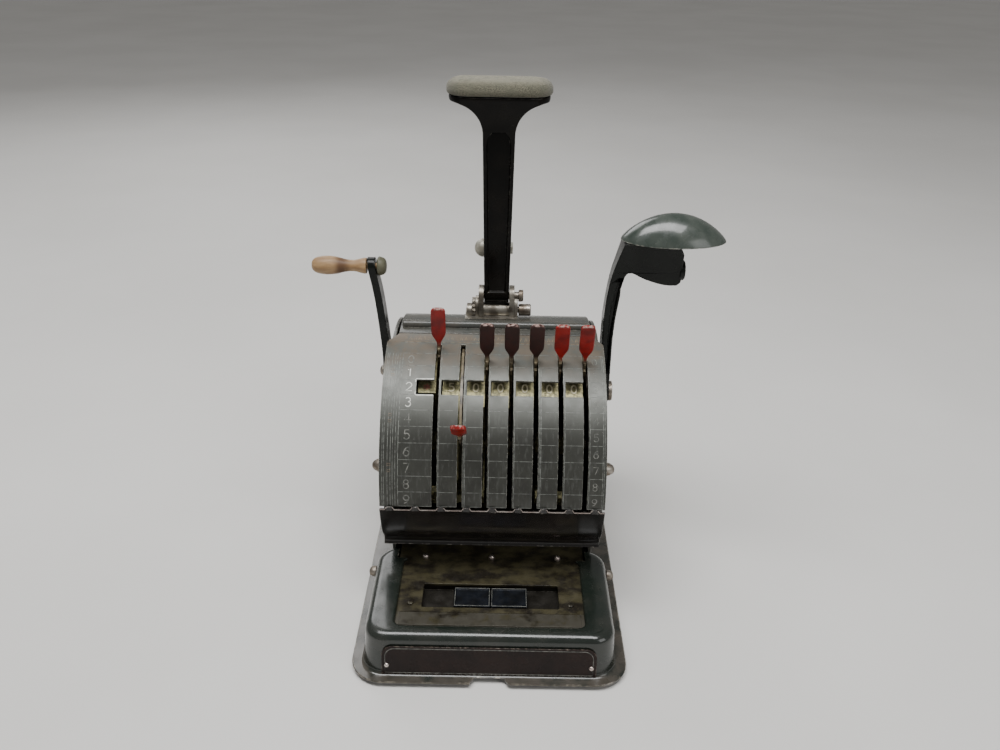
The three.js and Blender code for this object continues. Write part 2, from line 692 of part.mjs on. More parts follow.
function crankShaft() {
  const shaft = rodX(SHAFT_RADIUS, -68.8, -58, CRANK_Y, CRANK_Z, 18);
  const stem = rodX(3, -75, -68, CRANK_Y, CRANK_Z, 16);
  const head = sideScrew(-1, CRANK_Y, CRANK_Z, 74.4, 3.6, 2.7, 1);
  const armShape = link([CRANK_Y, CRANK_Z], [CRANK_Y - INNER_ARM, CRANK_Z], 7, 4.5);
  const arm = alongX(armShape, -60.8, -58);
  const pin = rodX(2, -64, -59, CRANK_Y - INNER_ARM, CRANK_Z, 12);
  return join(shaft, stem, head, arm, pin);
}

// Turned wooden grip with a metal spindle end; it spins on the crank's eye.
function crankGrip() {
  const profile = [
    [0, -117],
    [2.6, -116.7],
    [4.4, -115],
    [5.5, -111.5],
    [5.9, -106.5],
    [5.3, -101],
    [4.1, -96],
    [3.6, -92.5],
    [3.8, -89],
    [4.8, -85],
    [5, -82.2],
    [2, -82.2],
    [2, -71.5],
    [0, -71.5],
  ];
  return turnedX(profile, CRANK_Y, GRIP_Z, 20);
}

function crankEndCap() {
  const profile = [
    [2.3, -74.9],
    [5.6, -74.9],
    [6, -73.5],
    [5.2, -71],
    [3.4, -69.6],
    [0, -69.2],
    [0, -71.2],
    [2.3, -71.2],
  ];
  return turnedX([...profile, profile[0]], CRANK_Y, GRIP_Z, 18);
}

// Flat link from the crank's inner arm down to the feed roller's ratchet.
function feedLink() {
  const y = CRANK_Y - INNER_ARM;
  const bar = alongX(link([y, CRANK_Z], [y - 4, 24], 4.5, 3.5), -63.9, -61.4);
  return cut(bar, rodX(2 + GAP, -70, -55, y, CRANK_Z, 12));
}

function feedRoller() {
  const shaft = rodX(2.5, -CHEEK_OUTER, CHEEK_OUTER, FEED_Y, FEED_Z, 12);
  const rollers = [-1, 1].map((side) => {
    return rodX(7.8, side * 22 - 9.5, side * 22 + 9.5, FEED_Y, FEED_Z, 24);
  });
  const teeth = Array.from({ length: 20 }, (_, i) => {
    const turn = (i * Math.PI) / 10;
    const radius = i % 2 ? 8.4 : 10;
    return [FEED_Y + radius * Math.cos(turn), FEED_Z + radius * Math.sin(turn)];
  });
  return join(shaft, ...rollers, alongX(polygon(teeth), -63.9, -61.4));
}

// ---- palm lever ------------------------------------------------------------
const PALM_LINK_X = [58.2, 60.6];
const PALM_ARM_IN = [61, 64];
const PALM_ARM_REACH = 16;
const PLATEN_Z = [15, 26.9];

// Bent arm with a groove down its front, and the gusset that runs under the dome.
function palmArm() {
  const left = [[69.4, 108], [69.4, 174], [70.6, 188], [72.9, 203.8], [79, 223.9]];
  const right = [[116.4, 217], [116.4, 198], [114, 195.7], [105.4, 196.1], [83.4, 203.8]];
  right.push([79, 188], [77, 171], [76.2, 156], [76.2, 108]);
  const front = polygon([...left, [110, 223.9], ...right]);
  const side = polygon([
    [PALM_Y - 8, PALM_Z - 9],
    [PALM_Y + 8, PALM_Z - 9],
    [PALM_Y + 8, PALM_Z + 16],
    [PALM_Y + 5, 194],
    [PALM_Y + 9, 226],
    [PALM_Y - 9, 226],
    [PALM_Y - 5, 194],
    [PALM_Y - 8, PALM_Z + 16],
  ]);
  const body = common(alongY(front, PALM_Y - 15, PALM_Y + 15), alongX(side, 60, 120));
  const groove = alongY(
    polygon([[73.2, 134], [73.2, 171], [75.1, 188], [77.8, 200], [79.8, 200], [77.5, 188], [75, 134]]),
    PALM_Y - 15,
    PALM_Y - 2.4,
  );
  const disc = rodX(6.4, 115, 118.6, PALM_Y, 204.6, 18);
  const bore = rodX(3.3, 60, 90, PALM_Y, PALM_Z, 16);
  return cut(join(body, disc), groove, bore);
}

// Enamelled palm rest: a shallow oval lens, hollow underneath.
const DOME = { x: 109.8, z: 224.5, halfX: 32.9, halfY: 17.6, height: 16.8 };

function domeShell(inset) {
  const profile = [[0, 0]];
  for (const reach of [1, 0.97, 0.9, 0.78, 0.62, 0.42, 0.22, 0]) {
    profile.push([reach, (1 - reach ** 2) ** 0.85]);
  }
  return turned(profile, 28)
    .rotateX(Math.PI / 2)
    .scale(DOME.halfX - inset, DOME.halfY - inset, DOME.height - inset)
    .translate(DOME.x, PALM_Y, DOME.z);
}

function palmDome() {
  const lower = box(60, 150, PALM_Y - 40, PALM_Y + 40, DOME.z - 1, DOME.z + 0.6);
  const skirt = common(domeShell(2), lower).translate(0, 0, -0.3);
  const foot = box(88, 104, PALM_Y - 5, PALM_Y + 5, DOME.z - 0.3, DOME.z + 1);
  const post = common(box(88, 104, PALM_Y - 5, PALM_Y + 5, DOME.z, DOME.z + 20), domeShell(1));
  return join(cut(domeShell(0), domeShell(2.2), skirt), foot, post);
}

function palmShaft() {
  const shaft = rodX(SHAFT_RADIUS, PALM_ARM_IN[0], CHEEK_OUTER + GAP, PALM_Y, PALM_Z, 18);
  const stem = rodX(3, CHEEK_OUTER, 77, PALM_Y, PALM_Z, 16);
  const nut = rodX(6.8, 76.5, 79, PALM_Y, PALM_Z, 20);
  const armShape = link([PALM_Y, PALM_Z], [PALM_Y + PALM_ARM_REACH, PALM_Z], 7, 4.5);
  const arm = alongX(armShape, ...PALM_ARM_IN);
  const pin = rodX(2, PALM_LINK_X[0], PALM_ARM_IN[0] + 1, PALM_Y + PALM_ARM_REACH, PALM_Z, 12);
  return join(shaft, stem, nut, arm, pin);
}

// Link from the palm lever's inner arm down to the platen; its lower end is a
// frame with room to rise around the platen's pin.
function pressLink() {
  const y = PALM_Y + PALM_ARM_REACH;
  const bar = alongX(link([y, PALM_Z], [y, 42], 4.5, 3.5), ...PALM_LINK_X);
  const foot = alongX(roundedRect(y - 20, y + 4, 5.6, 44, 2), ...PALM_LINK_X);
  const window = box(50, 70, y - 17.5, y + 0.8, 8.2, 39);
  const bore = rodX(2 + GAP, 50, 70, y, PALM_Z, 12);
  return cut(join(bar, foot), window, bore);
}

// The platen under the print line, with a rubber-faced top, moves straight up.
function platen() {
  const block = box(-50, 56.8, DRUM_Y - 6, DRUM_Y + 6, ...PLATEN_Z);
  const pin = rodX(2, 55, 61.5, DRUM_Y, 20, 12);
  return join(block, pin);
}

// ---- ink roller ------------------------------------------------------------
const INK_ANGLE = 226;
const INK_DISTANCE = 51;
const INK_RADIUS = 7;

function inkArm() {
  const [y, z] = onDrum(INK_ANGLE, INK_DISTANCE);
  const shape = link([DRUM_Y, DRUM_Z], [y, z], 8, 4.5);
  const arm = cut(
    alongX(shape, -56, -53.4),
    rodX(SHAFT_RADIUS + GAP, -60, -50, DRUM_Y, DRUM_Z, 16),
  );
  return join(arm, rodX(1.9, -54, 53, y, z, 12));
}

function inkRoller() {
  const [y, z] = onDrum(INK_ANGLE, INK_DISTANCE);
  return cut(rodX(INK_RADIUS, -49, 52, y, z, 20), rodX(1.9 + GAP, -55, 60, y, z, 12));
}

// ---- the assembly ----------------------------------------------------------
function addBase() {
  addPiece('base_pan', basePan(), 'enamel');
  addPiece('base_felt_pad', feltPad(), 'felt');
  addPiece('deck_plate', deckPlate(), 'dark');
  addPiece('die_tray', dieTray(), 'dark');
  addPiece('die_block_left', dieBlock(-1), 'steel');
  addPiece('die_block_right', dieBlock(1), 'steel');
  addPiece('name_plate', namePlate(), 'enamel');
  addPiece('name_plate_rivet_left', plateRivet(-60), 'steel');
  addPiece('name_plate_rivet_right', plateRivet(60), 'steel');
  addPiece('deck_screw_left', domedPin(-49, -74, PAPER_LEVEL + GAP, 2, 0.9), 'steel');
  addPiece('deck_screw_right', domedPin(49, -74, PAPER_LEVEL + GAP, 2, 0.9), 'steel');
  [-43, 0, 43].forEach((x, i) => {
    addPiece(`paper_guide_pin_${i + 1}`, domedPin(x, -31, PAPER_LEVEL + GAP, 2, 2.6), 'steel');
  });
  for (const [name, side] of [['left', -1], ['right', 1]]) {
    const seat = PAN_HALF_WIDTH + GAP;
    addPiece(`pan_screw_${name}`, sideScrew(side, -36, 20, seat, 3.4, 4.4, 0), 'steel');
  }
}

function addBody() {
  for (const [name, side] of [['left', -1], ['right', 1]]) {
    addPiece(`cheek_${name}`, cheek(side), 'enamel');
    const seat = CHEEK_OUTER + GAP;
    addPiece(`face_screw_${name}`, sideScrew(side, -3, 81, seat, 5, 12.4, 0), 'steel');
    addPiece(`cheek_screw_${name}`, sideScrew(side, 24, 152, seat, 2.4, 1.9, 0), 'steel');
  }
  addPiece('face_plate', facePlate(), 'enamel');
  addPiece('top_cover', topCover(), 'enamel');
  addPiece('rear_cover', rearCover(), 'enamel');
  addPiece('apron', apron(), 'gloss');
  addPiece('main_shaft', rodX(SHAFT_RADIUS, -CHEEK_OUTER, CHEEK_OUTER, DRUM_Y, DRUM_Z), 'steel');
}

function addSelectors() {
  REST_ROWS.forEach((row, i) => {
    const selector = new THREE.Group();
    selector.position.set(slotX(i), DRUM_Y, DRUM_Z);
    selector.rotation.x = radians(90 - rowAngle(row));
    object.add(selector);
    const look = [0, 1, 5, 6].includes(i) ? 'red' : 'maroon';
    addPiece(`selector_lever_${i + 1}`, selectorLever(), look, selector);
    addPiece(`digit_sector_${i + 1}`, digitSector(), 'brass', selector);
  });
}

function addHandle() {
  addPiece('handle_bracket', handleBracket(), 'aluminium');
  addPiece('handle_arm', handleArm(), 'gloss');
  addPiece('handle_pad', handlePad(), 'rubber');
  addPiece('handle_pin', bracketPin(HANDLE_Z, 2.5, -12, 18, 4, 3.2), 'steel');
  addPiece('barrel_pin', bracketPin(BARREL_Z, 2, -20, 23.4, 4, 8.4), 'steel');
  addPiece('ball_knob', ballKnob(), 'steel');
}

function addCrank() {
  addPiece('crank_arm', crankArm(), 'gloss');
  addPiece('crank_shaft', crankShaft(), 'steel');
  addPiece('crank_grip', crankGrip(), 'wood');
  addPiece('crank_end_cap', crankEndCap(), 'olive');
  addPiece('feed_link', feedLink(), 'steel');
  addPiece('feed_roller', feedRoller(), 'rubber');
}

function addPalmLever() {
  addPiece('palm_arm', palmArm(), 'gloss');
  addPiece('palm_dome', palmDome(), 'enamel');
  addPiece('palm_shaft', palmShaft(), 'steel');
  addPiece('press_link', pressLink(), 'steel');
  addPiece('platen', platen(), 'steel');
  addPiece('ink_arm', inkArm(), 'steel');
  addPiece('ink_roller', inkRoller(), 'dark');
}

addBase();
addBody();
addSelectors();
addHandle();
addCrank();
addPalmLever();

export default object;
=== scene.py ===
import math

import bmesh
import bpy
from mathutils import Euler, Matrix, Vector, noise


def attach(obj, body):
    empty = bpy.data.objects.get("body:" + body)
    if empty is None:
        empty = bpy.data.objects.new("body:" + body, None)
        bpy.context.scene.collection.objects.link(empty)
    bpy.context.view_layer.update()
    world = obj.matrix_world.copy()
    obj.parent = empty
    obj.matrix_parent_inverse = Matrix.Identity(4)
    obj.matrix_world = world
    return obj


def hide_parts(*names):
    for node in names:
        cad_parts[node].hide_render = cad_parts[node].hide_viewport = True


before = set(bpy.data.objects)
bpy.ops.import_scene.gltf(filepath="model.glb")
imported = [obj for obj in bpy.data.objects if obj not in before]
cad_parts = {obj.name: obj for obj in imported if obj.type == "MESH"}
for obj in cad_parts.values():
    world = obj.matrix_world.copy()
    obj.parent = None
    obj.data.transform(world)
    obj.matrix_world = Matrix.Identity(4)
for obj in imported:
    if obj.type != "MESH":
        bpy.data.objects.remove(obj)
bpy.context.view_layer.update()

# ---- dimensions shared with the CAD model ----------------------------------
MM = 0.001
GAP = 0.3

FLANGE_BOTTOM = 2.5
FLANGE_TOP = 4.1
FLANGE_HALF_WIDTH = 82.5
FLANGE_HALF_DEPTH = 115
FLANGE_CORNER = 20
DECK_TOP = 30
PAN_HALF_WIDTH = 75
PAN_FRONT = -108.5
PAN_REAR = -20
PAN_FRONT_DRAFT = 3.6
PAN_SIDE_DRAFT = 0.8
PAN_EDGE_RADIUS = 5.5
PAPER_LEVEL = 27.9
WALL_TILT = math.atan(PAN_FRONT_DRAFT / (DECK_TOP - PAN_EDGE_RADIUS - FLANGE_TOP))

DRUM_Y = 42
DRUM_Z = 72
FACE_RADIUS = 90
FACE_INNER = 88
CORNER_CUT_Z = 159.2
ROW_PITCH = 360 / 56
ROW_ZERO = 66.4
FACE_LOW = ROW_ZERO - 9.5 * ROW_PITCH
FACE_HIGH = FACE_LOW + 12 * ROW_PITCH
SLOT_HIGH = FACE_LOW + 10.85 * ROW_PITCH
FIRST_SLOT = -35.6
SLOT_PITCH = 15.3
SLOT_HALF = 1.5
WINDOW_WIDTH = 12.4
WINDOW_ROW = 2
REST_ROWS = [-1, 5, 0, 0, 0, 0, 0]
DIGIT_RADIUS = 81.5
SIGHT_SHIFT = 2.8  # the rim lies deep, so its digits sit higher for a reader looking down

CRANK_Y, CRANK_Z = 38, 130
GRIP_Z = 204
PALM_Y, PALM_Z = 39, 117
HANDLE_Y, HANDLE_Z = 65, 174.5
BARREL_Z = 164.2
HANDLE_TOP = 305.8
DOME_X, DOME_Z = 109.8, 224.5

SLOT_XS = [FIRST_SLOT + i * SLOT_PITCH for i in range(7)]


def row_angle(row):
    return ROW_ZERO - row * ROW_PITCH


# ---- drawing helpers -------------------------------------------------------
def on_drum(angle, radius):
    """Point (y, z) of the drum at an angle above the horizontal."""
    turn = math.radians(angle)
    return DRUM_Y - radius * math.cos(turn), DRUM_Z + radius * math.sin(turn)


def arc(cx, cy, radius, start, end, steps=12):
    """Points of a circular arc, both ends included, angles in degrees."""
    points = []
    for i in range(steps + 1):
        turn = math.radians(start + (end - start) * i / steps)
        points.append((cx + radius * math.cos(turn), cy + radius * math.sin(turn)))
    return points


def smooth_path(points, steps=6):
    """Catmull-Rom curve through points of any dimension, ends kept."""
    ends = [points[0], *points, points[-1]]
    path = []
    for i in range(len(points) - 1):
        p0, p1, p2, p3 = (Vector(p) for p in ends[i : i + 4])
        for k in range(steps):
            t = k / steps
            curve = 2 * p1 + (p2 - p0) * t + (2 * p0 - 5 * p1 + 4 * p2 - p3) * t**2
            curve += (3 * p1 - p0 - 3 * p2 + p3) * t**3
            path.append(tuple(0.5 * curve))
    path.append(tuple(points[-1]))
    return path


def link(a, b, radius_a, radius_b=None, steps=14):
    """Outline of a bar with two round ends."""
    radius_b = radius_b or radius_a
    turn = math.degrees(math.atan2(b[1] - a[1], b[0] - a[0]))
    far = arc(*b, radius_b, turn - 90, turn + 90, steps)
    near = arc(*a, radius_a, turn + 90, turn + 270, steps)
    return far + near


def rounded_rect(x0, x1, y0, y1, radius, steps=8):
    corners = [(x1, y0, -90), (x1, y1, 0), (x0, y1, 90), (x0, y0, 180)]
    points = []
    for x, y, start in corners:
        cx = x - radius if x == x1 else x + radius
        cy = y - radius if y == y1 else y + radius
        points += arc(cx, cy, radius, start, start + 90, steps)
    return points


# ---- mesh helpers ----------------------------------------------------------
def mesh_object(name, bm, place=None):
    """A scene object from a bmesh in millimetres."""
    if place:
        bmesh.ops.transform(bm, matrix=place, verts=bm.verts)
    bmesh.ops.recalc_face_normals(bm, faces=bm.faces)
    bmesh.ops.scale(bm, vec=(MM, MM, MM), verts=bm.verts)
    mesh = bpy.data.meshes.new(name)
    bm.to_mesh(mesh)
    bm.free()
    obj = bpy.data.objects.new(name, mesh)
    bpy.context.scene.collection.objects.link(obj)
    return obj


def ring_faces(bm, rings, closed_loop=False):
    """Quads between rings of vertices; a ring of one vertex is a pole."""
    pairs = list(zip(rings, rings[1:]))
    if closed_loop:
        pairs.append((rings[-1], rings[0]))
    for low, high in pairs:
        count = max(len(low), len(high))
        for i in range(count):
            j = (i + 1) % count
            corners = []
            for v in (low[i % len(low)], low[j % len(low)], high[j % len(high)], high[i % len(high)]):
                if v not in corners:
                    corners.append(v)
            if len(corners) > 2:
                bm.faces.new(corners)


def loft(name, rings, closed_loop=False, place=None):
    """Surface through rings of 3-D points, capped at both ends unless it closes on itself."""
    bm = bmesh.new()
    vertices = [[bm.verts.new(p) for p in ring] for ring in rings]
    ring_faces(bm, vertices, closed_loop)
    if not closed_loop:
        for end in (vertices[0], vertices[-1]):
            if len(end) > 2:
                bm.faces.new(end)
    return mesh_object(name, bm, place)


def prism(name, outline, axis, low, high, place=None):
    """Straight extrusion of an outline in (y, z), (x, z) or (x, y)."""
    order = {
        "x": lambda a, b, t: (t, a, b),
        "y": lambda a, b, t: (a, t, b),
        "z": lambda a, b, t: (a, b, t),
    }[axis]
    rings = [[order(a, b, t) for a, b in outline] for t in (low, high)]
    return loft(name, rings, place=place)


def lathe(name, profile, place=None, steps=40):
    """Turned piece: profile lists (radius, height), height along +Z."""
    rings = []
    for radius, height in profile:
        if radius == 0:
            rings.append([(0, 0, height)])
            continue
        turns = [2 * math.pi * i / steps for i in range(steps)]
        rings.append([(radius * math.cos(t), radius * math.sin(t), height) for t in turns])
    return loft(name, rings, place=place)


def at(x, y, z):
    return Matrix.Translation((x, y, z))


def turned_to_x(side, x, y, z):
    """Placement of a turned piece whose height runs along +X or -X."""
    return at(x, y, z) @ Euler((0, side * math.pi / 2, 0)).to_matrix().to_4x4()


def rod_x(name, radius, x0, x1, y, z, steps=32):
    profile = [(0, 0), (radius, 0), (radius, x1 - x0), (0, x1 - x0)]
    return lathe(name, profile, turned_to_x(1, x0, y, z), steps)


def block(name, x0, x1, y0, y1, z0, z1):
    return prism(name, [(x0, y0), (x1, y0), (x1, y1), (x0, y1)], "z", z0, z1)


def bake(obj):
    """Turns the modifiers so far into mesh data."""
    graph = bpy.context.evaluated_depsgraph_get()
    mesh = bpy.data.meshes.new_from_object(obj.evaluated_get(graph))
    obj.modifiers.clear()
    obj.data = mesh
    return obj


def combine(body, operation, *others):
    for other in others:
        modifier = body.modifiers.new("join", "BOOLEAN")
        modifier.object = other
        modifier.operation = operation
        modifier.solver = "EXACT"
    bake(body)
    for other in others:
        bpy.data.objects.remove(other)
    return body


def merge(name, *parts):
    """One object from several that only touch or overlap, without a boolean."""
    bm = bmesh.new()
    for part in parts:
        bm.from_mesh(part.data)
        bpy.data.objects.remove(part)
    bmesh.ops.scale(bm, vec=(1 / MM,) * 3, verts=bm.verts)
    return mesh_object(name, bm)


def copy_of(name, source, place):
    """Copy of an object's mesh moved by a matrix in millimetres."""
    bm = bmesh.new()
    bm.from_mesh(source.data)
    bmesh.ops.scale(bm, vec=(1 / MM,) * 3, verts=bm.verts)
    return mesh_object(name, bm, place)


def round_edges(obj, width, segments=3, angle=34):
    bevel = obj.modifiers.new("round", "BEVEL")
    bevel.width = width * MM
    bevel.segments = segments
    bevel.limit_method = "ANGLE"
    bevel.angle_limit = math.radians(angle)
    bevel.use_clamp_overlap = False
    return obj


def shade_smooth(obj, angle=40):
    obj.data.shade_smooth()
    obj.data.set_sharp_from_angle(angle=math.radians(angle))
    weighted = obj.modifiers.new("normals", "WEIGHTED_NORMAL")
    weighted.keep_sharp = True
    return obj


def fit(obj, body, material, nodes=(), edge=0, segments=3, sharp=40):
    """Finishes a piece: edges, shading, material, body and the nodes it stands for."""
    if edge:
        round_edges(obj, edge, segments)
        bake(obj)
    shade_smooth(obj, sharp)
    obj.data.materials.clear()
    obj.data.materials.append(material)
    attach(obj, body)
    if nodes:
        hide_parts(*nodes)
    return obj


def refined(node):
    """New mesh of a CAD node with its flat faces merged, ready for rounding."""
    bm = bmesh.new()
    bm.from_mesh(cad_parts[node].data)
    bmesh.ops.remove_doubles(bm, verts=bm.verts, dist=1e-6)
    bmesh.ops.dissolve_limit(bm, angle_limit=math.radians(1), verts=bm.verts, edges=bm.edges)
    bmesh.ops.scale(bm, vec=(1 / MM,) * 3, verts=bm.verts)
    return mesh_object("v_" + node, bm)


# ---- line work -------------------------------------------------------------
def ribbon(bm, points, width, place, height=0.07, closed=False):
    """A thin raised line along points (u, v); place maps (u, v, h) to space."""
    count = len(points)
    rings = []
    for i, (u, v) in enumerate(points):
        before = points[i - 1] if (closed or i) else points[i]
        after = points[(i + 1) % count] if (closed or i < count - 1) else points[i]
        du, dv = after[0] - before[0], after[1] - before[1]
        size = math.hypot(du, dv) or 1
        nu, nv = -dv / size * width / 2, du / size * width / 2
        ring = [(u + nu, v + nv, height), (u - nu, v - nv, height)]
        ring += [(u - nu, v - nv, -0.15), (u + nu, v + nv, -0.15)]
        rings.append([bm.verts.new(place(*p)) for p in ring])
    pairs = list(zip(rings, rings[1:]))
    if closed:
        pairs.append((rings[-1], rings[0]))
    for a, b in pairs:
        for i in range(4):
            j = (i + 1) % 4
            bm.faces.new((a[i], a[j], b[j], b[i]))
    if not closed:
        bm.faces.new(rings[0])
        bm.faces.new(rings[-1][::-1])


def drum_place(radius, angle, x=0):
    """Maps u to X and v to the arc above an angle, both in millimetres."""

    def place(u, v, h):
        y, z = on_drum(angle + math.degrees(v / radius), radius + h)
        return x + u, y, z

    return place


def circle(cx, cy, radius, start=0, steps=16):
    return arc(cx, cy, radius, start, start + 360, steps)[:-1]


def digit_strokes(digit):
    """Strokes of a plain numeral in a box 0.66 wide and 1 high: (points, closed)."""
    oval = [(0.33 + 0.3 * x, 0.5 + 0.5 * y) for x, y in circle(0, 0, 1, steps=20)]
    six_stem = smooth_path([(0.56, 0.97), (0.3, 0.84), (0.1, 0.56), (0.03, 0.3)], 4)
    six = [(six_stem, False), (circle(0.33, 0.3, 0.3), True)]
    if digit == 9:
        return [([(0.66 - u, 1 - v) for u, v in pts], closed) for pts, closed in six]
    three = arc(0.32, 0.74, 0.26, 150, -80, 10) + arc(0.32, 0.27, 0.29, 80, -150, 12)
    five = [(0.6, 1), (0.14, 1), (0.09, 0.56)] + arc(0.32, 0.32, 0.32, 125, -150, 12)
    return {
        0: [(oval, True)],
        1: [([(0.12, 0.8), (0.36, 1), (0.36, 0)], False)],
        2: [(arc(0.33, 0.7, 0.3, 165, -35, 12) + [(0.02, 0), (0.66, 0)], False)],
        3: [(three, False)],
        4: [([(0.5, 0), (0.5, 1), (0.02, 0.3), (0.7, 0.3)], False)],
        5: [(five, False)],
        6: six,
        7: [([(0.02, 1), (0.66, 1), (0.26, 0)], False)],
        8: [(circle(0.33, 0.75, 0.24), True), (circle(0.33, 0.26, 0.27), True)],
    }[digit]


def add_digit(bm, digit, height, stroke, place, lift=0.07):
    for points, closed in digit_strokes(digit):
        scaled = [((u - 0.33) * height, (v - 0.5) * height) for u, v in points]
        ribbon(bm, scaled, stroke, place, lift, closed)


# ---- materials -------------------------------------------------------------
class Nodes:
    """Short names for building a node tree."""

    def __init__(self, name):
        self.material = bpy.data.materials.new(name)
        self.material.use_nodes = True
        self.tree = self.material.node_tree
        self.shader = self.tree.nodes["Principled BSDF"]
        self.coords = self.add("ShaderNodeTexCoord").outputs["Object"]

    def add(self, kind, **values):
        node = self.tree.nodes.new(kind)
        for key, value in values.items():
            setattr(node, key, value)
        return node

    def link(self, source, target):
        self.tree.links.new(source, target)

    def noise(self, scale, detail=4, rough=0.55, stretch=None):
        node = self.add("ShaderNodeTexNoise")
        node.inputs["Scale"].default_value = scale
        node.inputs["Detail"].default_value = detail
        node.inputs["Roughness"].default_value = rough
        coords = self.coords
        if stretch:
            mapping = self.add("ShaderNodeMapping")
            mapping.inputs["Scale"].default_value = stretch
            self.link(coords, mapping.inputs["Vector"])
            coords = mapping.outputs["Vector"]
        self.link(coords, node.inputs["Vector"])
        return node.outputs["Fac"]

    def ramp(self, source, low, high, to_low=0.0, to_high=1.0):
        node = self.add("ShaderNodeMapRange")
        node.interpolation_type = "SMOOTHSTEP"
        for socket, value in zip(range(1, 5), (low, high, to_low, to_high)):
            node.inputs[socket].default_value = value
        self.link(source, node.inputs[0])
        return node.outputs[0]

    def math(self, operation, a, b=None):
        node = self.add("ShaderNodeMath", operation=operation, use_clamp=True)
        for socket, value in ((0, a), (1, b)):
            if value is None:
                continue
            if isinstance(value, (int, float)):
                node.inputs[socket].default_value = value
            else:
                self.link(value, node.inputs[socket])
        return node.outputs[0]

    def mix(self, factor, a, b):
        node = self.add("ShaderNodeMix", data_type="RGBA")
        self.link(factor, node.inputs["Factor"])
        for socket, value in ((node.inputs[6], a), (node.inputs[7], b)):
            if isinstance(value, tuple):
                socket.default_value = (*value, 1)
            else:
                self.link(value, socket)
        return node.outputs[2]

    def edges(self, radius, low, high):
        """Mask of worn edges: where a rounded normal leaves the true one."""
        bevel = self.add("ShaderNodeBevel", samples=4)
        bevel.inputs["Radius"].default_value = radius * MM
        true = self.add("ShaderNodeNewGeometry").outputs["Normal"]
        dot = self.add("ShaderNodeVectorMath", operation="DOT_PRODUCT")
        self.link(bevel.outputs["Normal"], dot.inputs[0])
        self.link(true, dot.inputs[1])
        return self.ramp(dot.outputs["Value"], high, low)

    def axis(self, which):
        split = self.add("ShaderNodeSeparateXYZ")
        self.link(self.coords, split.inputs[0])
        return split.outputs[which]

    def bump(self, source, strength, distance=0.0004):
        node = self.add("ShaderNodeBump")
        node.inputs["Strength"].default_value = strength
        node.inputs["Distance"].default_value = distance
        self.link(source, node.inputs["Height"])
        self.link(node.outputs["Normal"], self.shader.inputs["Normal"])

    def finish(self, colour, rough, metallic=0.0, specular=0.5, coat=0.0):
        self.link(colour, self.shader.inputs["Base Color"])
        if isinstance(rough, float):
            self.shader.inputs["Roughness"].default_value = rough
        else:
            self.link(rough, self.shader.inputs["Roughness"])
        self.shader.inputs["Metallic"].default_value = metallic
        self.shader.inputs["Specular IOR Level"].default_value = specular
        self.shader.inputs["Coat Weight"].default_value = coat
        self.shader.inputs["Coat Roughness"].default_value = 0.12
        return self.material


def enamel(name, colour, blotch, worn, rough=(0.25, 0.42), wear=0.5, coat=0.0, scale=60, specular=0.35):
    """Old stoved enamel: blotches, fine grain, pale chipped edges."""
    n = Nodes(name)
    clouds = n.ramp(n.noise(scale), 0.35, 0.7)
    fine = n.noise(900, 3, 0.6)
    base = n.mix(clouds, colour, blotch)
    edge = n.edges(0.7, 0.93, 0.995)
    chips = n.math("MULTIPLY", edge, n.ramp(n.noise(340, 5), 0.62 - 0.3 * wear, 0.68))
    specks = n.math("MULTIPLY", n.ramp(n.noise(1400, 2), 0.73, 0.78), 0.6 * wear)
    mask = n.math("ADD", chips, specks)
    n.bump(fine, 0.08)
    roughness = n.ramp(n.noise(scale * 1.7), 0.3, 0.7, *rough)
    return n.finish(n.mix(mask, base, worn), roughness, 0.0, specular, coat)


def metal(name, colour, tarnish, rough=(0.3, 0.55), scale=160, metallic=0.9):
    """Bare or plated metal with darker tarnished patches."""
    n = Nodes(name)
    patches = n.ramp(n.noise(scale, 5), 0.35, 0.65)
    n.bump(n.noise(1500, 3), 0.1)
    roughness = n.ramp(n.noise(scale * 2), 0.3, 0.7, *rough)
    return n.finish(n.mix(patches, colour, tarnish), roughness, metallic)


def lever_paint(name, colour, deep, bare_and_highlight=(0.34, 0.23, 0.2)):
    """Paint on the tab with a painted highlight as a pale band along its top edge and pale chipped edges;
    dirty metal on the blade.
    """
    n = Nodes(name)
    shift = n.add("ShaderNodeVectorMath", operation="SUBTRACT")
    shift.inputs[1].default_value = (0, DRUM_Y * MM, DRUM_Z * MM)
    n.link(n.coords, shift.inputs[0])
    flat = n.add("ShaderNodeVectorMath", operation="MULTIPLY")
    flat.inputs[1].default_value = (0, 1, 1)
    n.link(shift.outputs[0], flat.inputs[0])
    length = n.add("ShaderNodeVectorMath", operation="LENGTH")
    n.link(flat.outputs[0], length.inputs[0])
    radius = length.outputs["Value"]
    base = n.mix(n.ramp(n.noise(140), 0.35, 0.7), colour, deep)
    # Painted highlight: a pale band along the tab's top edge, found by distance from the drum axis. Its
    # pale colour also serves the chipped edges, which are wear.
    pale_mask = n.math("MULTIPLY", n.ramp(radius, 0.1192, 0.1202), n.ramp(n.noise(600), 0.42, 0.6))
    edge = n.math("MULTIPLY", n.edges(0.5, 0.9, 0.99), n.ramp(n.noise(420, 5), 0.52, 0.6))
    painted = n.mix(n.math("ADD", pale_mask, edge), base, bare_and_highlight)
    dirty = n.mix(n.ramp(n.noise(300, 5), 0.35, 0.6), (0.06, 0.05, 0.035), (0.24, 0.2, 0.13))
    n.bump(n.noise(700), 0.12)
    return n.finish(n.mix(n.ramp(radius, 0.0905, 0.0965), dirty, painted), 0.3, 0.0, 0.35)


def ink(name, colour, faded, low, high):
    """Worn light filling of engraved lines."""
    n = Nodes(name)
    worn = n.ramp(n.noise(420, 5), low, high)
    return n.finish(n.mix(worn, colour, faded), 0.55, 0.0, 0.4)


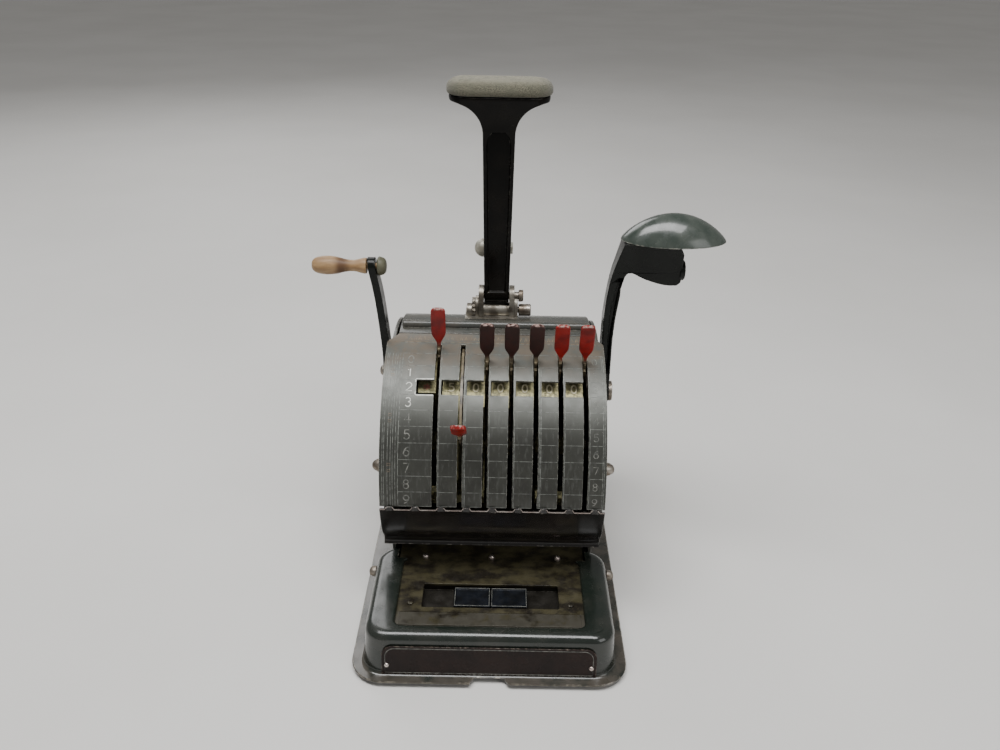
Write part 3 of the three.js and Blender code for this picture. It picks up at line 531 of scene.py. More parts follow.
def felt_material(name, colour, light, scale=1500):
    """Matt fibres or rubber grain, speckled light and dark."""
    n = Nodes(name)
    fibres = n.noise(scale, 6, 0.7)
    speckle = n.mix(n.ramp(n.noise(scale * 0.55, 4, 0.7), 0.4, 0.62), colour, light)
    worn = n.mix(n.ramp(n.noise(70), 0.45, 0.7), speckle, light)
    n.bump(fibres, 0.75, 0.0006)
    n.shader.inputs["Sheen Weight"].default_value = 0.25
    return n.finish(worn, 0.93, 0.0, 0.25)


def wood_material():
    """Turned grip: long grain, dark hand stain round the neck."""
    n = Nodes("grip_wood")
    grain = n.noise(240, 6, 0.6, (0.18, 1, 1))
    base = n.mix(n.ramp(grain, 0.35, 0.65), (0.36, 0.235, 0.12), (0.23, 0.135, 0.06))
    stain_x = n.ramp(n.axis(0), -0.104, -0.0985)
    stain_end = n.ramp(n.axis(0), -0.0905, -0.097)
    stain = n.math("MULTIPLY", n.math("MULTIPLY", stain_x, stain_end), n.ramp(n.noise(190), 0.3, 0.5))
    n.bump(grain, 0.25)
    return n.finish(n.mix(stain, base, (0.1, 0.05, 0.022)), 0.5, 0.0, 0.4)


def face_material():
    """Drum face: grey-green enamel with a painted reflection that lightens its upper rows, worn brown
    towards the top, fine streaks.
    """
    n = Nodes("face_enamel")
    clouds = n.ramp(n.noise(45, 5), 0.35, 0.68)
    base = n.mix(clouds, (0.04, 0.041, 0.035), (0.024, 0.024, 0.02))
    # Painted reflection: the enamel is mixed lighter with height, standing in for the light its upper rows
    # reflect.
    painted_reflection = n.ramp(n.axis(2), 0.118, 0.142)
    base = n.mix(n.math("MULTIPLY", painted_reflection, 0.6), base, (0.125, 0.13, 0.115))
    streaks = n.ramp(n.noise(520, 4, 0.6, (1, 0.25, 0.25)), 0.5, 0.75)
    base = n.mix(n.math("MULTIPLY", streaks, 0.35), base, (0.11, 0.115, 0.105))
    top = n.math("MULTIPLY", n.ramp(n.axis(2), 0.146, 0.16), n.ramp(n.noise(110, 5), 0.35, 0.6))
    base = n.mix(n.math("MULTIPLY", top, 0.75), base, (0.13, 0.098, 0.068))
    edge = n.math("MULTIPLY", n.edges(0.6, 0.93, 0.995), n.ramp(n.noise(380, 5), 0.42, 0.56))
    specks = n.ramp(n.noise(1600, 2), 0.72, 0.78)
    mask = n.math("ADD", edge, n.math("MULTIPLY", specks, 0.5))
    n.bump(n.noise(1000, 3), 0.1)
    roughness = n.ramp(n.noise(90), 0.3, 0.7, 0.34, 0.5)
    return n.finish(n.mix(mask, base, (0.36, 0.36, 0.32)), roughness, 0.25, 0.5)


def pan_material():
    """Pressed base: glossy green-black enamel, browner and duller on the flange."""
    n = Nodes("pan_enamel")
    base = n.mix(n.ramp(n.noise(60), 0.35, 0.7), (0.009, 0.013, 0.01), (0.018, 0.02, 0.016))
    low = n.math("MULTIPLY", n.ramp(n.axis(2), 0.0062, 0.0038), n.ramp(n.noise(90, 5), 0.25, 0.6))
    base = n.mix(low, base, (0.06, 0.052, 0.042))
    edge = n.math("MULTIPLY", n.edges(0.7, 0.93, 0.995), n.ramp(n.noise(340, 5), 0.46, 0.62))
    specks = n.math("MULTIPLY", n.ramp(n.noise(1400, 2), 0.74, 0.79), 0.4)
    n.bump(n.noise(900, 3), 0.06)
    roughness = n.ramp(n.noise(100), 0.3, 0.7, 0.16, 0.3)
    return n.finish(n.mix(n.math("ADD", edge, specks), base, (0.28, 0.25, 0.2)), roughness, 0.0, 0.5, 0.3)


def deck_material():
    """Tarnished paper plate, less olive in a strip along its front edge."""
    n = Nodes("deck_tarnish")
    stains = n.ramp(n.noise(70, 6, 0.6, (1, 1.6, 1)), 0.38, 0.62)
    base = n.mix(stains, (0.014, 0.011, 0.007), (0.062, 0.054, 0.028))
    pale_mask = n.math("MULTIPLY", n.ramp(n.noise(1100, 3), 0.55, 0.75), 0.35)
    base = n.mix(pale_mask, base, (0.12, 0.1, 0.06))
    strip = n.math("MULTIPLY", n.ramp(n.axis(1), -0.0815, -0.0826), n.ramp(n.noise(120, 5), 0.3, 0.55))
    base = n.mix(strip, base, (0.062, 0.057, 0.044))
    n.bump(n.noise(1500, 3), 0.1)
    return n.finish(base, n.ramp(n.noise(140), 0.3, 0.7, 0.36, 0.55), 0.35)


def pad_material():
    """Worn grey-green rubber: fine grain, and painted light that makes the top of the pad lighter."""
    n = Nodes("grey_pad")
    grain = n.noise(1900, 5, 0.75)
    base = n.mix(n.ramp(grain, 0.42, 0.58), (0.05, 0.048, 0.033), (0.17, 0.16, 0.118))
    base = n.mix(n.math("MULTIPLY", n.ramp(n.noise(130), 0.4, 0.65), 0.5), base, (0.09, 0.092, 0.068))
    # Painted light: the top of the pad is mixed lighter with height, as if lit from above.
    crown_painted_light = n.math("MULTIPLY", n.ramp(n.axis(2), 0.3125, 0.3155), n.ramp(n.noise(300, 4), 0.25, 0.55))
    base = n.mix(n.math("MULTIPLY", crown_painted_light, 0.35), base, (0.3, 0.28, 0.21))
    n.bump(grain, 0.6, 0.0005)
    n.shader.inputs["Sheen Weight"].default_value = 0.2
    return n.finish(base, 0.9, 0.0, 0.25)


def make_materials():
    return {
        "face": face_material(),
        "pan": pan_material(),
        "plate": enamel("plate_enamel", (0.01, 0.006, 0.005), (0.018, 0.01, 0.008), (0.25, 0.2, 0.16),
                        (0.2, 0.32), 0.6, specular=0.2),
        "body": enamel("body_enamel", (0.045, 0.048, 0.043), (0.065, 0.06, 0.05), (0.34, 0.32, 0.28),
                       (0.22, 0.34), 0.7, 0.2),
        "gloss": enamel("gloss_black", (0.008, 0.007, 0.006), (0.013, 0.01, 0.009), (0.3, 0.28, 0.25),
                        (0.14, 0.26), 0.35, 0.25),
        "arm": enamel("arm_black", (0.003, 0.004, 0.003), (0.006, 0.007, 0.006), (0.16, 0.16, 0.14),
                      (0.2, 0.34), 0.2, specular=0.2),
        "handle": enamel("handle_black", (0.002, 0.0018, 0.0015), (0.005, 0.004, 0.003), (0.2, 0.19, 0.16),
                         (0.14, 0.24), 0.3, specular=0.12),
        "dome": enamel("dome_enamel", (0.03, 0.04, 0.033), (0.055, 0.065, 0.055), (0.45, 0.44, 0.38),
                       (0.18, 0.34), 0.85, 0.5, 90),
        "deck": deck_material(),
        "block": metal("die_steel", (0.016, 0.019, 0.026), (0.008, 0.009, 0.011), (0.3, 0.5), 200, 0.6),
        "steel": metal("old_steel", (0.34, 0.31, 0.27), (0.16, 0.13, 0.1)),
        "bright": metal("bright_steel", (0.6, 0.54, 0.5), (0.4, 0.33, 0.3), (0.2, 0.35)),
        "ball": metal("dull_ball", (0.42, 0.41, 0.35), (0.3, 0.28, 0.23), (0.4, 0.55), 220, 0.35),
        "mark": ink("mark_fill", (0.42, 0.16, 0.12), (0.2, 0.1, 0.07), 0.4, 0.65),
        "cast": metal("cast_aluminium", (0.3, 0.28, 0.24), (0.12, 0.105, 0.085), (0.35, 0.55), 180, 0.8),
        "dark_steel": metal("dark_steel", (0.06, 0.055, 0.048), (0.03, 0.027, 0.022), (0.4, 0.6)),
        "brass": metal("aged_brass", (0.34, 0.31, 0.16), (0.14, 0.13, 0.07), (0.4, 0.6), 420, 0.5),
        "olive": enamel("olive_cap", (0.1, 0.095, 0.06), (0.07, 0.07, 0.045), (0.3, 0.28, 0.2),
                        (0.3, 0.5), 0.4),
        "rubber": felt_material("dark_rubber", (0.02, 0.02, 0.019), (0.045, 0.043, 0.04), 800),
        "pad": pad_material(),
        "felt": felt_material("base_felt", (0.02, 0.02, 0.018), (0.05, 0.048, 0.04)),
        "wood": wood_material(),
        "red": lever_paint("red_paint", (0.26, 0.005, 0.003), (0.12, 0.003, 0.002)),
        "maroon": lever_paint("maroon_paint", (0.035, 0.009, 0.007), (0.018, 0.007, 0.005)),
        "line": ink("line_fill", (0.22, 0.23, 0.21), (0.08, 0.083, 0.077), 0.4, 0.62),
        "digit": ink("digit_fill", (0.62, 0.63, 0.58), (0.4, 0.41, 0.38), 0.45, 0.7),
        "dim": ink("dim_fill", (0.19, 0.19, 0.17), (0.08, 0.083, 0.075), 0.42, 0.6),
        "gilt": ink("gilt_fill", (0.26, 0.19, 0.12), (0.12, 0.09, 0.065), 0.4, 0.6),
        "type": ink("type_fill", (0.78, 0.72, 0.5), (0.5, 0.45, 0.3), 0.4, 0.65),
    }


M = make_materials()


# ---- base ------------------------------------------------------------------
# Half of the finger notch in the flange's front edge: (distance from centre, depth).
NOTCH = [(14, 0), (11.5, 0), (10.2, 2.1), (9, 4.1), (8, 4.8), (6.5, 5.2), (4.5, 5.3), (0, 5.3)]


def pan_ring(half, front, rear, radius, z, notch=0.0):
    """One closed outline of the pan with the notch's depth scaled by notch."""
    wide = half - radius
    spread = [wide, wide * 0.75 + 3.5, wide * 0.4 + 8]
    left = [(-x, 0) for x in spread] + [(-x, d * notch) for x, d in NOTCH]
    right = [(-x, d) for x, d in reversed(left[:-1])]
    ring = [(x, front + d, z) for x, d in left + right]
    sides = [i / 16 for i in range(1, 16)]
    ring += [(x, y, z) for x, y in arc(wide, front + radius, radius, -90, 0, 10)[1:]]
    length = rear - front - 2 * radius
    ring += [(half, front + radius + length * t, z) for t in sides]
    ring += [(x, y, z) for x, y in arc(wide, rear - radius, radius, 0, 90, 10)]
    ring += [(wide - 2 * wide * t, rear, z) for t in sides]
    ring += [(x, y, z) for x, y in arc(-wide, rear - radius, radius, 90, 180, 10)]
    ring += [(-half, rear - radius - length * t, z) for t in sides]
    ring += [(x, y, z) for x, y in arc(-wide, front + radius, radius, 180, 270, 10)[:-1]]
    return ring


def pan_wall(z, inset, radius=13.0):
    """Ring of the pan's wall at a height, drawn in by its draft and an inset."""
    rise = (z - FLANGE_TOP) / (DECK_TOP - PAN_EDGE_RADIUS - FLANGE_TOP)
    rise = min(max(rise, 0), 1)
    side = PAN_SIDE_DRAFT * rise + inset
    front = PAN_FRONT_DRAFT * rise + inset
    return pan_ring(PAN_HALF_WIDTH - side, PAN_FRONT + front, PAN_REAR - side, radius - inset * 0.4, z)


def make_pan():
    """Flange, drafted wall, rounded shoulder, sunk deck recess and the hollow underside."""
    rings = []
    flange = ((0.45, FLANGE_BOTTOM), (0, FLANGE_BOTTOM + 0.45), (0, FLANGE_TOP - 0.45), (0.45, FLANGE_TOP))
    for inset, z in flange:
        half, rear = FLANGE_HALF_WIDTH - inset, FLANGE_HALF_DEPTH - inset
        rings.append(pan_ring(half, -rear, rear, FLANGE_CORNER - inset, z, 1.0))
    for i in range(5):
        turn = math.pi / 2 * i / 4
        out = 2.2 * (1 - math.sin(turn))
        rings.append(pan_wall(FLANGE_TOP + 2.2 * (1 - math.cos(turn)), -out))
    rings += [pan_wall(z, 0) for z in (12, 18, 22)]
    for i in range(9):
        turn = math.pi / 2 * i / 8
        drawn = PAN_EDGE_RADIUS * (1 - math.cos(turn))
        rings.append(pan_wall(DECK_TOP - PAN_EDGE_RADIUS * (1 - math.sin(turn)), drawn))
    for i in range(5):
        turn = math.pi / 2 * i / 4
        out = 1.5 * (1 - math.sin(turn))
        z = DECK_TOP - 1.5 * (1 - math.cos(turn))
        rings.append(pan_ring(56.6 + out, -95 - out, -33 + out, 5 + out, z))
    rings.append(pan_ring(56.6, -95, -33, 5, 28.05))
    rings.append(pan_ring(58.2, -96.6, -31.4, 6.6, 28.05))
    rings.append(pan_wall(28.3, 6.2, 12))
    rings.append(pan_wall(24.5, 1.6, 12))
    rings.append(pan_wall(FLANGE_BOTTOM, 1.6, 12))
    pan = loft("pan_shell", rings, closed_loop=True)
    throat = block("throat", -61, 61, -34, -14, 4.5, 31)
    combine(pan, "DIFFERENCE", throat)
    fit(pan, "housing", M["pan"], ["base_pan"])


def make_felt():
    rings = []
    for inset, z in ((0.5, 0), (0, 0.5), (0, 1.7), (0.5, 2.2)):
        outline = rounded_rect(-73.5 + inset, 73.5 - inset, -106 + inset, 106 - inset, 15, 10)
        rings.append([(x, y, z) for x, y in outline])
    felt = fit(loft("felt_sole", rings), "housing", M["felt"], ["base_felt_pad"])


PLATE_THICKNESS = 1.3


def on_front_wall(u, v, h):
    """Maps (u, v) along the name plate on the pan's sloping front wall, h outwards."""
    out = h + PLATE_THICKNESS
    y = PAN_FRONT + v * math.sin(WALL_TILT) - out * math.cos(WALL_TILT)
    z = FLANGE_TOP + v * math.cos(WALL_TILT) + out * math.sin(WALL_TILT)
    return u, y, z


def make_name_plate():
    """Blank riveted plate with a border line and wear along its lower edge."""
    plate = refined("name_plate")
    fit(plate, "housing", M["plate"], ["name_plate"], 0.25)
    bm = bmesh.new()
    top = arc(55.6, 12.7, 5.4, 0, 90, 8)
    outline = [(61, 2)] + top + [(-x, y) for x, y in reversed(top)] + [(-61, 2)]
    ribbon(bm, outline, 0.35, on_front_wall, 0.06, closed=True)
    for i in range(75):
        x = -59 + i * 118 / 74 + 0.4 * math.sin(i * 2.3)
        height = 0.5 + 0.5 * abs(math.sin(i * 1.7))
        ribbon(bm, [(x, 1.1), (x + 0.5, 1.1 + height)], 0.3, on_front_wall, 0.05)
    border = mesh_object("plate_border", bm)
    fit(border, "housing", M["dim"])
    tilt = at(0, PAN_FRONT, FLANGE_TOP) @ Matrix.Rotation(-WALL_TILT, 4, "X")
    for side, x in (("left", -60), ("right", 60)):
        profile = [(0, 0), (1.5, 0), (1.5, 0.4), (1.35, 0.85), (1, 1.15), (0.5, 1.3), (0, 1.35)]
        place = tilt @ at(x, -PLATE_THICKNESS, 7) @ Matrix.Rotation(math.pi / 2, 4, "X")
        rivet = lathe("rivet_" + side, profile, place, 20)
        fit(rivet, "housing", M["bright"], ["name_plate_rivet_" + side])


def slotted_head(name, profile, place, slot_width, slot_depth, radius):
    """A turned screw head with a screwdriver slot across its top."""
    head = lathe(name, profile, place, 32)
    top = profile[-1][1]
    half = slot_width / 2
    outline = [(-half, -radius - 1), (half, -radius - 1), (half, radius + 1), (-half, radius + 1)]
    cutter = prism("cutter", outline, "z", top - slot_depth, top + 1, place)
    return combine(head, "DIFFERENCE", cutter)


def make_base_hardware():
    fit(refined("deck_plate"), "housing", M["deck"], ["deck_plate"], 0.25)
    fit(refined("die_tray"), "housing", M["dark_steel"], ["die_tray"], 0.3)
    for side in ("left", "right"):
        node = "die_block_" + side
        fit(refined(node), "housing", M["block"], [node], 0.25)
    bm = bmesh.new()
    for x0, x1 in ((-22, -0.8), (0.8, 22)):
        outline = [(x0, -75), (x1, -75), (x1, -59.3), (x0, -59.3)]
        ribbon(bm, outline, 0.4, lambda u, v, h: (u, v, 27.4 + h), 0.05, closed=True)
    fit(mesh_object("die_outline", bm), "housing", M["dim"])
    for side, x in (("left", -49), ("right", 49)):
        profile = [(0, 0), (2, 0), (2, 0.35), (1.5, 0.7), (0.8, 0.87), (0, 0.9)]
        place = at(x, -74, PAPER_LEVEL + GAP)
        head = slotted_head("deck_head_" + side, profile, place, 0.5, 0.45, 2)
        fit(head, "housing", M["deck"], ["deck_screw_" + side])
    for i, x in enumerate((-43, 0, 43)):
        profile = [(0, 0), (2, 0), (2, 1.1), (1.8, 1.7), (1.4, 2.2), (0.8, 2.5), (0, 2.6)]
        pin = lathe(f"guide_pin_{i + 1}", profile, at(x, -31, PAPER_LEVEL + GAP), 24)
        fit(pin, "housing", M["bright"], [f"paper_guide_pin_{i + 1}"])


def make_side_screws():
    """Slotted screws on both sides: pan, face and cheek."""
    pan = [(0, 0), (3.4, 0), (3.4, 1.4), (3.2, 2.5), (2.6, 3.5), (1.6, 4.2), (0, 4.4)]
    face = [(0, 0), (5, 0), (5, 4.4), (4.8, 6.5), (4, 9.2), (2.8, 11.4), (1.5, 12.3), (0, 12.4)]
    cheek = [(0, 0), (2.4, 0), (2.4, 0.7), (2.1, 1.3), (1.5, 1.65), (0.7, 1.87), (0, 1.9)]
    kinds = [("pan_screw_", pan, 75.3, -36, 20), ("face_screw_", face, 66.9, -3, 81)]
    kinds.append(("cheek_screw_", cheek, 66.9, 24, 152))
    for name, profile, seat, y, z in kinds:
        for word, side in (("left", -1), ("right", 1)):
            place = turned_to_x(side, side * seat, y, z)
            radius = profile[1][0]
            head = slotted_head("head_" + name + word, profile, place, 0.9, 1.0, radius)
            fit(head, "housing", M["steel"], [name + word])


# ---- drum housing ----------------------------------------------------------
def spaced(marks, step):
    """Sorted marks with the wide gaps filled so that no gap passes step."""
    marks = sorted(set(round(m, 4) for m in marks))
    filled = [marks[0]]
    for a, b in zip(marks, marks[1:]):
        count = max(1, math.ceil((b - a) / step - 1e-6))
        filled += [a + (b - a) * (i + 1) / count for i in range(count)]
    return filled


def drum_sheet(name, xs, angles, outer, inner, hole, narrow=None):
    """Thick curved sheet over a grid of X and angle, without the cells that are holes."""
    bm = bmesh.new()
    grid = {}

    def vertex(i, j, layer):
        key = (i, j, layer)
        if key not in grid:
            y, z = on_drum(angles[j], outer if layer == 0 else inner)
            x = narrow(xs[i], on_drum(angles[j], outer)[1]) if narrow else xs[i]
            grid[key] = bm.verts.new((x, y, z))
        return grid[key]

    def solid(i, j):
        inside = 0 <= i < len(xs) - 1 and 0 <= j < len(angles) - 1
        return inside and not hole((xs[i] + xs[i + 1]) / 2, (angles[j] + angles[j + 1]) / 2)

    walls = [(-1, 0, (0, 0), (0, 1)), (1, 0, (1, 0), (1, 1))]
    walls += [(0, -1, (0, 0), (1, 0)), (0, 1, (0, 1), (1, 1))]
    for i in range(len(xs) - 1):
        for j in range(len(angles) - 1):
            if not solid(i, j):
                continue
            for layer in (0, 1):
                corners = ((0, 0), (1, 0), (1, 1), (0, 1))
                bm.faces.new([vertex(i + a, j + b, layer) for a, b in corners])
            for di, dj, a, b in walls:
                if not solid(i + di, j + dj):
                    edge = [(a, 0), (b, 0), (b, 1), (a, 1)]
                    bm.faces.new([vertex(i + p[0], j + p[1], layer) for p, layer in edge])
    return mesh_object(name, bm)


def in_face_opening(x, angle):
    """True in a selector's slot or in the window beside it."""
    window = abs(angle - row_angle(WINDOW_ROW)) < ROW_PITCH / 2
    for slot in SLOT_XS:
        if abs(x - slot) < SLOT_HALF and angle < SLOT_HIGH:
            return True
        if window and slot - WINDOW_WIDTH < x < slot:
            return True
    return False


def slanted_corner(x, z):
    """Draws x in above the height where the face's top corners are cut."""
    if z <= CORNER_CUT_Z:
        return x
    limit = 71 - (z - CORNER_CUT_Z) * 4.5
    return math.copysign(min(abs(x), limit), x)


def make_face():
    marks = [-69, 69]
    for slot in SLOT_XS:
        marks += [slot - WINDOW_WIDTH, slot - SLOT_HALF, slot + SLOT_HALF]
    window = row_angle(WINDOW_ROW)
    levels = [FACE_LOW, FACE_HIGH, SLOT_HIGH, window - ROW_PITCH / 2, window + ROW_PITCH / 2]
    angles = spaced(levels, 1.3)
    xs = spaced(marks, 6)
    face = drum_sheet("drum_face", xs, angles, FACE_RADIUS, FACE_INNER, in_face_opening, slanted_corner)
    fit(face, "housing", M["face"], ["face_plate"], 0.28, 2)


def row_edge(row):
    """Angle of the line above a row."""
    return row_angle(row) + ROW_PITCH / 2


def vertical_line(bm, x, low, high, width):
    place = drum_place(FACE_RADIUS, low)
    length = math.radians(high - low) * FACE_RADIUS
    ribbon(bm, [(x, length * i / 40) for i in range(41)], width, place)


def across(bm, x0, x1, angle, width):
    ribbon(bm, [(x0, 0), (x1, 0)], width, drum_place(FACE_RADIUS, angle))


def face_bays():
    """X ranges between the slots, from the digit column to the right border."""
    edges = [-57.6]
    for slot in SLOT_XS:
        edges += [slot - SLOT_HALF - 0.4, slot + SLOT_HALF + 0.6]
    edges.append(67.5)
    return list(zip(edges[::2], edges[1::2]))


def make_face_lines():
    bm = bmesh.new()
    for row in range(-1, 11):
        for x0, x1 in face_bays():
            angle = row_edge(row)
            if row == 10:
                angle = FACE_LOW + 0.35
            if row in (WINDOW_ROW, WINDOW_ROW + 1) and x1 < 60 and x0 > -50:
                x1 -= WINDOW_WIDTH
            across(bm, x0, x1, angle, 0.22)
    for i, slot in enumerate(SLOT_XS):
        low, high = FACE_LOW + 0.4, row_edge(1 if i else 0)
        vertical_line(bm, slot + SLOT_HALF + 0.9, low, high, 0.26)
        if i in (1, 4):
            vertical_line(bm, slot + SLOT_HALF + 1.7, low, high, 0.3)
    vertical_line(bm, -57.6, FACE_LOW + 0.4, row_edge(0), 0.3)
    for x in (-67.2, -66.2, -64, -62.2, -60.9, -59.3, 66.6, 67.6):
        vertical_line(bm, x, FACE_LOW + 0.4, row_edge(0), 0.24)
    lines = mesh_object("face_lines", bm)
    fit(lines, "housing", M["line"])


def make_window_frames():
    for i, slot in enumerate(SLOT_XS):
        bm = bmesh.new()
        place = drum_place(FACE_RADIUS, row_angle(WINDOW_ROW))
        half = math.radians(ROW_PITCH / 2) * FACE_RADIUS
        x = slot - WINDOW_WIDTH
        out = 0.5
        end = slot - SLOT_HALF - 0.2
        path = [(end, half + out), (x - out + 0.6, half + out), (x - out, half + out - 0.6)]
        path += [(u, -v) for u, v in reversed(path)]
        ribbon(bm, path, 0.35 if i else 0.75, place)
        edging = mesh_object(f"window_frame_{i + 1}", bm)
        fit(edging, "housing", M["line" if i else "digit"])


def make_face_digits():
    bright, dim = bmesh.new(), bmesh.new()
    for row in range(10):
        target = bright if row in (1, 2, 3) else dim
        add_digit(target, row, 5.6, 0.62, drum_place(FACE_RADIUS, row_angle(row), -52.5), 0.09)
        add_digit(dim, row, 4.6, 0.45, drum_place(FACE_RADIUS, row_angle(row), 62.2), 0.07)
    fit(mesh_object("face_digits_bright", bright), "housing", M["digit"])
    fit(mesh_object("face_digits_dim", dim), "housing", M["dim"])


def make_face_ornament():
    """A plain chevron band at the head of the face, and small boxes down its left border."""
    bm = bmesh.new()
    place = drum_place(FACE_RADIUS, 79.2)
    for i in range(40):
        x = -58 + i * 2.95
        ribbon(bm, [(x, -2), (x + 0.75, 2), (x + 1.5, -2)], 0.42, place)
    across(bm, -64, 64, 76.6, 0.25)
    for row in (1, 4, 7):
        for v in (-1, 1):
            box_place = drum_place(FACE_RADIUS, row_angle(row) + v * 1.2, -63.1)
            corners = [(-0.9, -0.7), (0.9, -0.7), (0.9, 0.7), (-0.9, 0.7)]
            ribbon(bm, corners, 0.25, box_place, closed=True)
    fit(mesh_object("face_ornament", bm), "housing", M["gilt"])


def make_top_cover():
    angles = spaced([FACE_HIGH + 0.4, 124], 1.3)
    xs = spaced([-62.5, 62.5], 8)
    sheet = drum_sheet("cover_sheet", xs, angles, FACE_RADIUS, FACE_INNER, lambda x, angle: False)
    round_edges(sheet, 0.4)
    bake(sheet)
    profile = [(0, 0), (2.4, 0), (3, 0.6), (3, 121.4), (2.4, 122), (0, 122)]
    bead = lathe("bead", profile, turned_to_x(1, -61, DRUM_Y - 1, DRUM_Z + FACE_RADIUS + 0.8), 32)
    cover = merge("cover", sheet, bead)
    fit(cover, "housing", M["body"], ["top_cover"])


def make_rear_cover():
    cover = refined("rear_cover")
    fit(cover, "housing", M["body"], ["rear_cover"], 0.6)


APRON_OUTER = [(-49.2, 79.2), (-48, 74), (-46.4, 68), (-44.7, 62.6), (-42.6, 58), (-39.6, 53.6)]
APRON_OUTER += [(-37, 50.6), (-35.3, 48.2), (-34.7, 46.4), (-34.9, 44.4), (-35.8, 42.4)]
CATCH_PITCH = 15.7


def make_apron():
    """Curved skirt under the face with nine catches, and the bright line along its top."""
    outer = smooth_path(APRON_OUTER, 4)
    inner = [(y + 1.3, z + (0.9 if z < 60 else 0.3)) for y, z in outer]
    inner[0] = (inner[0][0], outer[0][1])
    sheet = prism("apron_sheet", outer + inner[::-1], "x", -69, 69)
    parts = [sheet]
    for i in range(9):
        x = (i - 4) * CATCH_PITCH
        hook = [(x - 2.2, 78.2), (x + 2.2, 78.2), (x + 1.6, 81.3), (x - 1.6, 81.3)]
        parts.append(prism("catch", hook, "y", -49.35, -48.1))
    apron = merge("apron_skirt", *[round_edges(part, 0.3) and bake(part) for part in parts])
    fit(apron, "housing", M["gloss"], ["apron"])
    bm = bmesh.new()

    def edge_place(u, v, h):
        return u, -49.35 + v * 0.3 - h, 79.2 + v

    path = [(-68.6, 0)]
    for i in range(9):
        x = (i - 4) * CATCH_PITCH
        path += [(x - 3, 0), (x - 1.9, 1.5), (x + 1.9, 1.5), (x + 3, 0)]
    path.append((68.6, 0))
    ribbon(bm, path, 0.5, edge_place, 0.1)
    fit(mesh_object("apron_bright_edge", bm), "housing", M["bright"])


def make_cheeks():
    for side in ("left", "right"):
        node = "cheek_" + side
        fit(refined(node), "housing", M["body"], [node], 0.4)


# ---- selectors -------------------------------------------------------------
def tab_outline():
    """Paddle of a selector lever with soft shoulders, in (x, z) from the face up."""
    edge = [(1.15, -3), (1.15, 3.2), (1.6, 5.6), (2.9, 8.2), (4.1, 10.8), (4.5, 14), (4.5, 27.4)]
    side = smooth_path(edge, 5)
    corner = arc(1.7, 27.7, 2.8, 0, 90, 7)
    right = side[:-1] + corner
    return right + [(-x, z) for x, z in reversed(right)]


def band_outline(inner, outer, start, end, steps):
    """Ring sector between two radii; the outer arc comes first."""
    def point(offset, radius):
        turn = math.radians(offset)
        return radius * math.sin(turn), radius * math.cos(turn)

    offsets = [start + (end - start) * i / steps for i in range(steps + 1)]
    rim = [point(o, outer) for o in offsets]
    return rim + [point(o, inner) for o in reversed(offsets)]


def lever_master():
    """Blade of a selector: hub, spoke, brace and rim, with its tab outside the face."""
    lean = at(0, 0, FACE_RADIUS) @ Matrix.Rotation(math.radians(-6), 4, "X")
    tab = prism("tab", tab_outline(), "y", -1.2, 1.2, lean)
    round_edges(tab, 0.55)
    bake(tab)
    hub = prism("hub", circle(0, 0, 9, steps=32), "x", -0.8, 0.8)
    spoke = prism("spoke", [(-4, 4), (4, 4), (2.2, 91), (-2.2, 91)], "x", -0.8, 0.8)
    rim = prism("rim", band_outline(79.5, 86.3, -3, 44, 36), "x", -0.78, 0.78)
    brace = prism("brace", [(4, 2), (6, 0), (59, 54), (55, 58)], "x", -0.76, 0.76)
    body = combine(hub, "UNION", spoke, rim, brace)
    bore = prism("bore", circle(0, 0, 4.3, steps=24), "x", -3, 3)
    combine(body, "DIFFERENCE", bore)
    return merge("lever_master", body, tab)


def sector_master():
    """The casting beside a blade: digit rim, web, hub and the type segment."""
    left, right = -WINDOW_WIDTH + GAP, -1.1
    low, high = -3 * ROW_PITCH, 7.5 * ROW_PITCH
    type_low = -90 - ROW_ZERO - ROW_PITCH / 2
    type_high = -90 - row_angle(9) + ROW_PITCH / 2
    rim = prism("rim", band_outline(79.3, DIGIT_RADIUS, low, high, 50), "x", left, right)
    wedge = [(0, 0)] + band_outline(1, 80.2, low, high, 50)[:51]
    web = prism("web", wedge, "x", right - 1.3, right - 0.02)
    type_wedge = [(0, 0)] + band_outline(1, 40, type_low, type_high, 30)[:31]
    type_web = prism("type_web", type_wedge, "x", right - 1.28, right - 0.04)
    band = band_outline(37.2, 42.4, type_low, type_high, 30)
    segment = prism("segment", band, "x", left, right - 0.01)
    hub = prism("hub", circle(0, 0, 7.5, steps=32), "x", left, right - 0.03)
    parts = [web, type_web, segment, hub]
    for row in range(10):
        turn = Matrix.Rotation(math.radians(90 + row_angle(row)), 4, "X")
        outline = [(left + 2.5, -1.5), (right - 2.5, -1.5), (right - 2.5, 1.5), (left + 2.5, 1.5)]
        parts.append(prism("type", outline, "z", 41.7, 43.2, turn))
    body = combine(rim, "UNION", *parts)
    bore = prism("bore", circle(0, 0, 4.3, steps=24), "x", left - 1, right + 1)
    return combine(body, "DIFFERENCE", bore)


def rim_place(row):
    """Maps (u, v, h) to a row of the digit rim, in the selector's own frame."""
    centre = (-WINDOW_WIDTH + GAP - 1.1) / 2
    offset = math.radians((row - WINDOW_ROW) * ROW_PITCH + SIGHT_SHIFT)

    def place(u, v, h):
        turn = offset + v / DIGIT_RADIUS
        radius = DIGIT_RADIUS + h
        return centre + u, radius * math.sin(turn), radius * math.cos(turn)

    return place


def digit_master():
    """The ten digits on a sector's rim."""
    bm = bmesh.new()
    for digit in range(10):
        add_digit(bm, digit, 5.4, 0.9, rim_place(digit), 0.35)
    return mesh_object("digit_master", bm)


def star_master():
    """A plain star in the blank position, one row before the 0."""
    bm = bmesh.new()
    for turn in (0, 60, 120):
        a = math.radians(turn + 30)
        ends = [(k * 2.2 * math.cos(a), k * 2.2 * math.sin(a)) for k in (-1, 1)]
        ribbon(bm, ends, 0.8, rim_place(-1), 0.3 + turn / 1000)
    return mesh_object("star_master", bm)


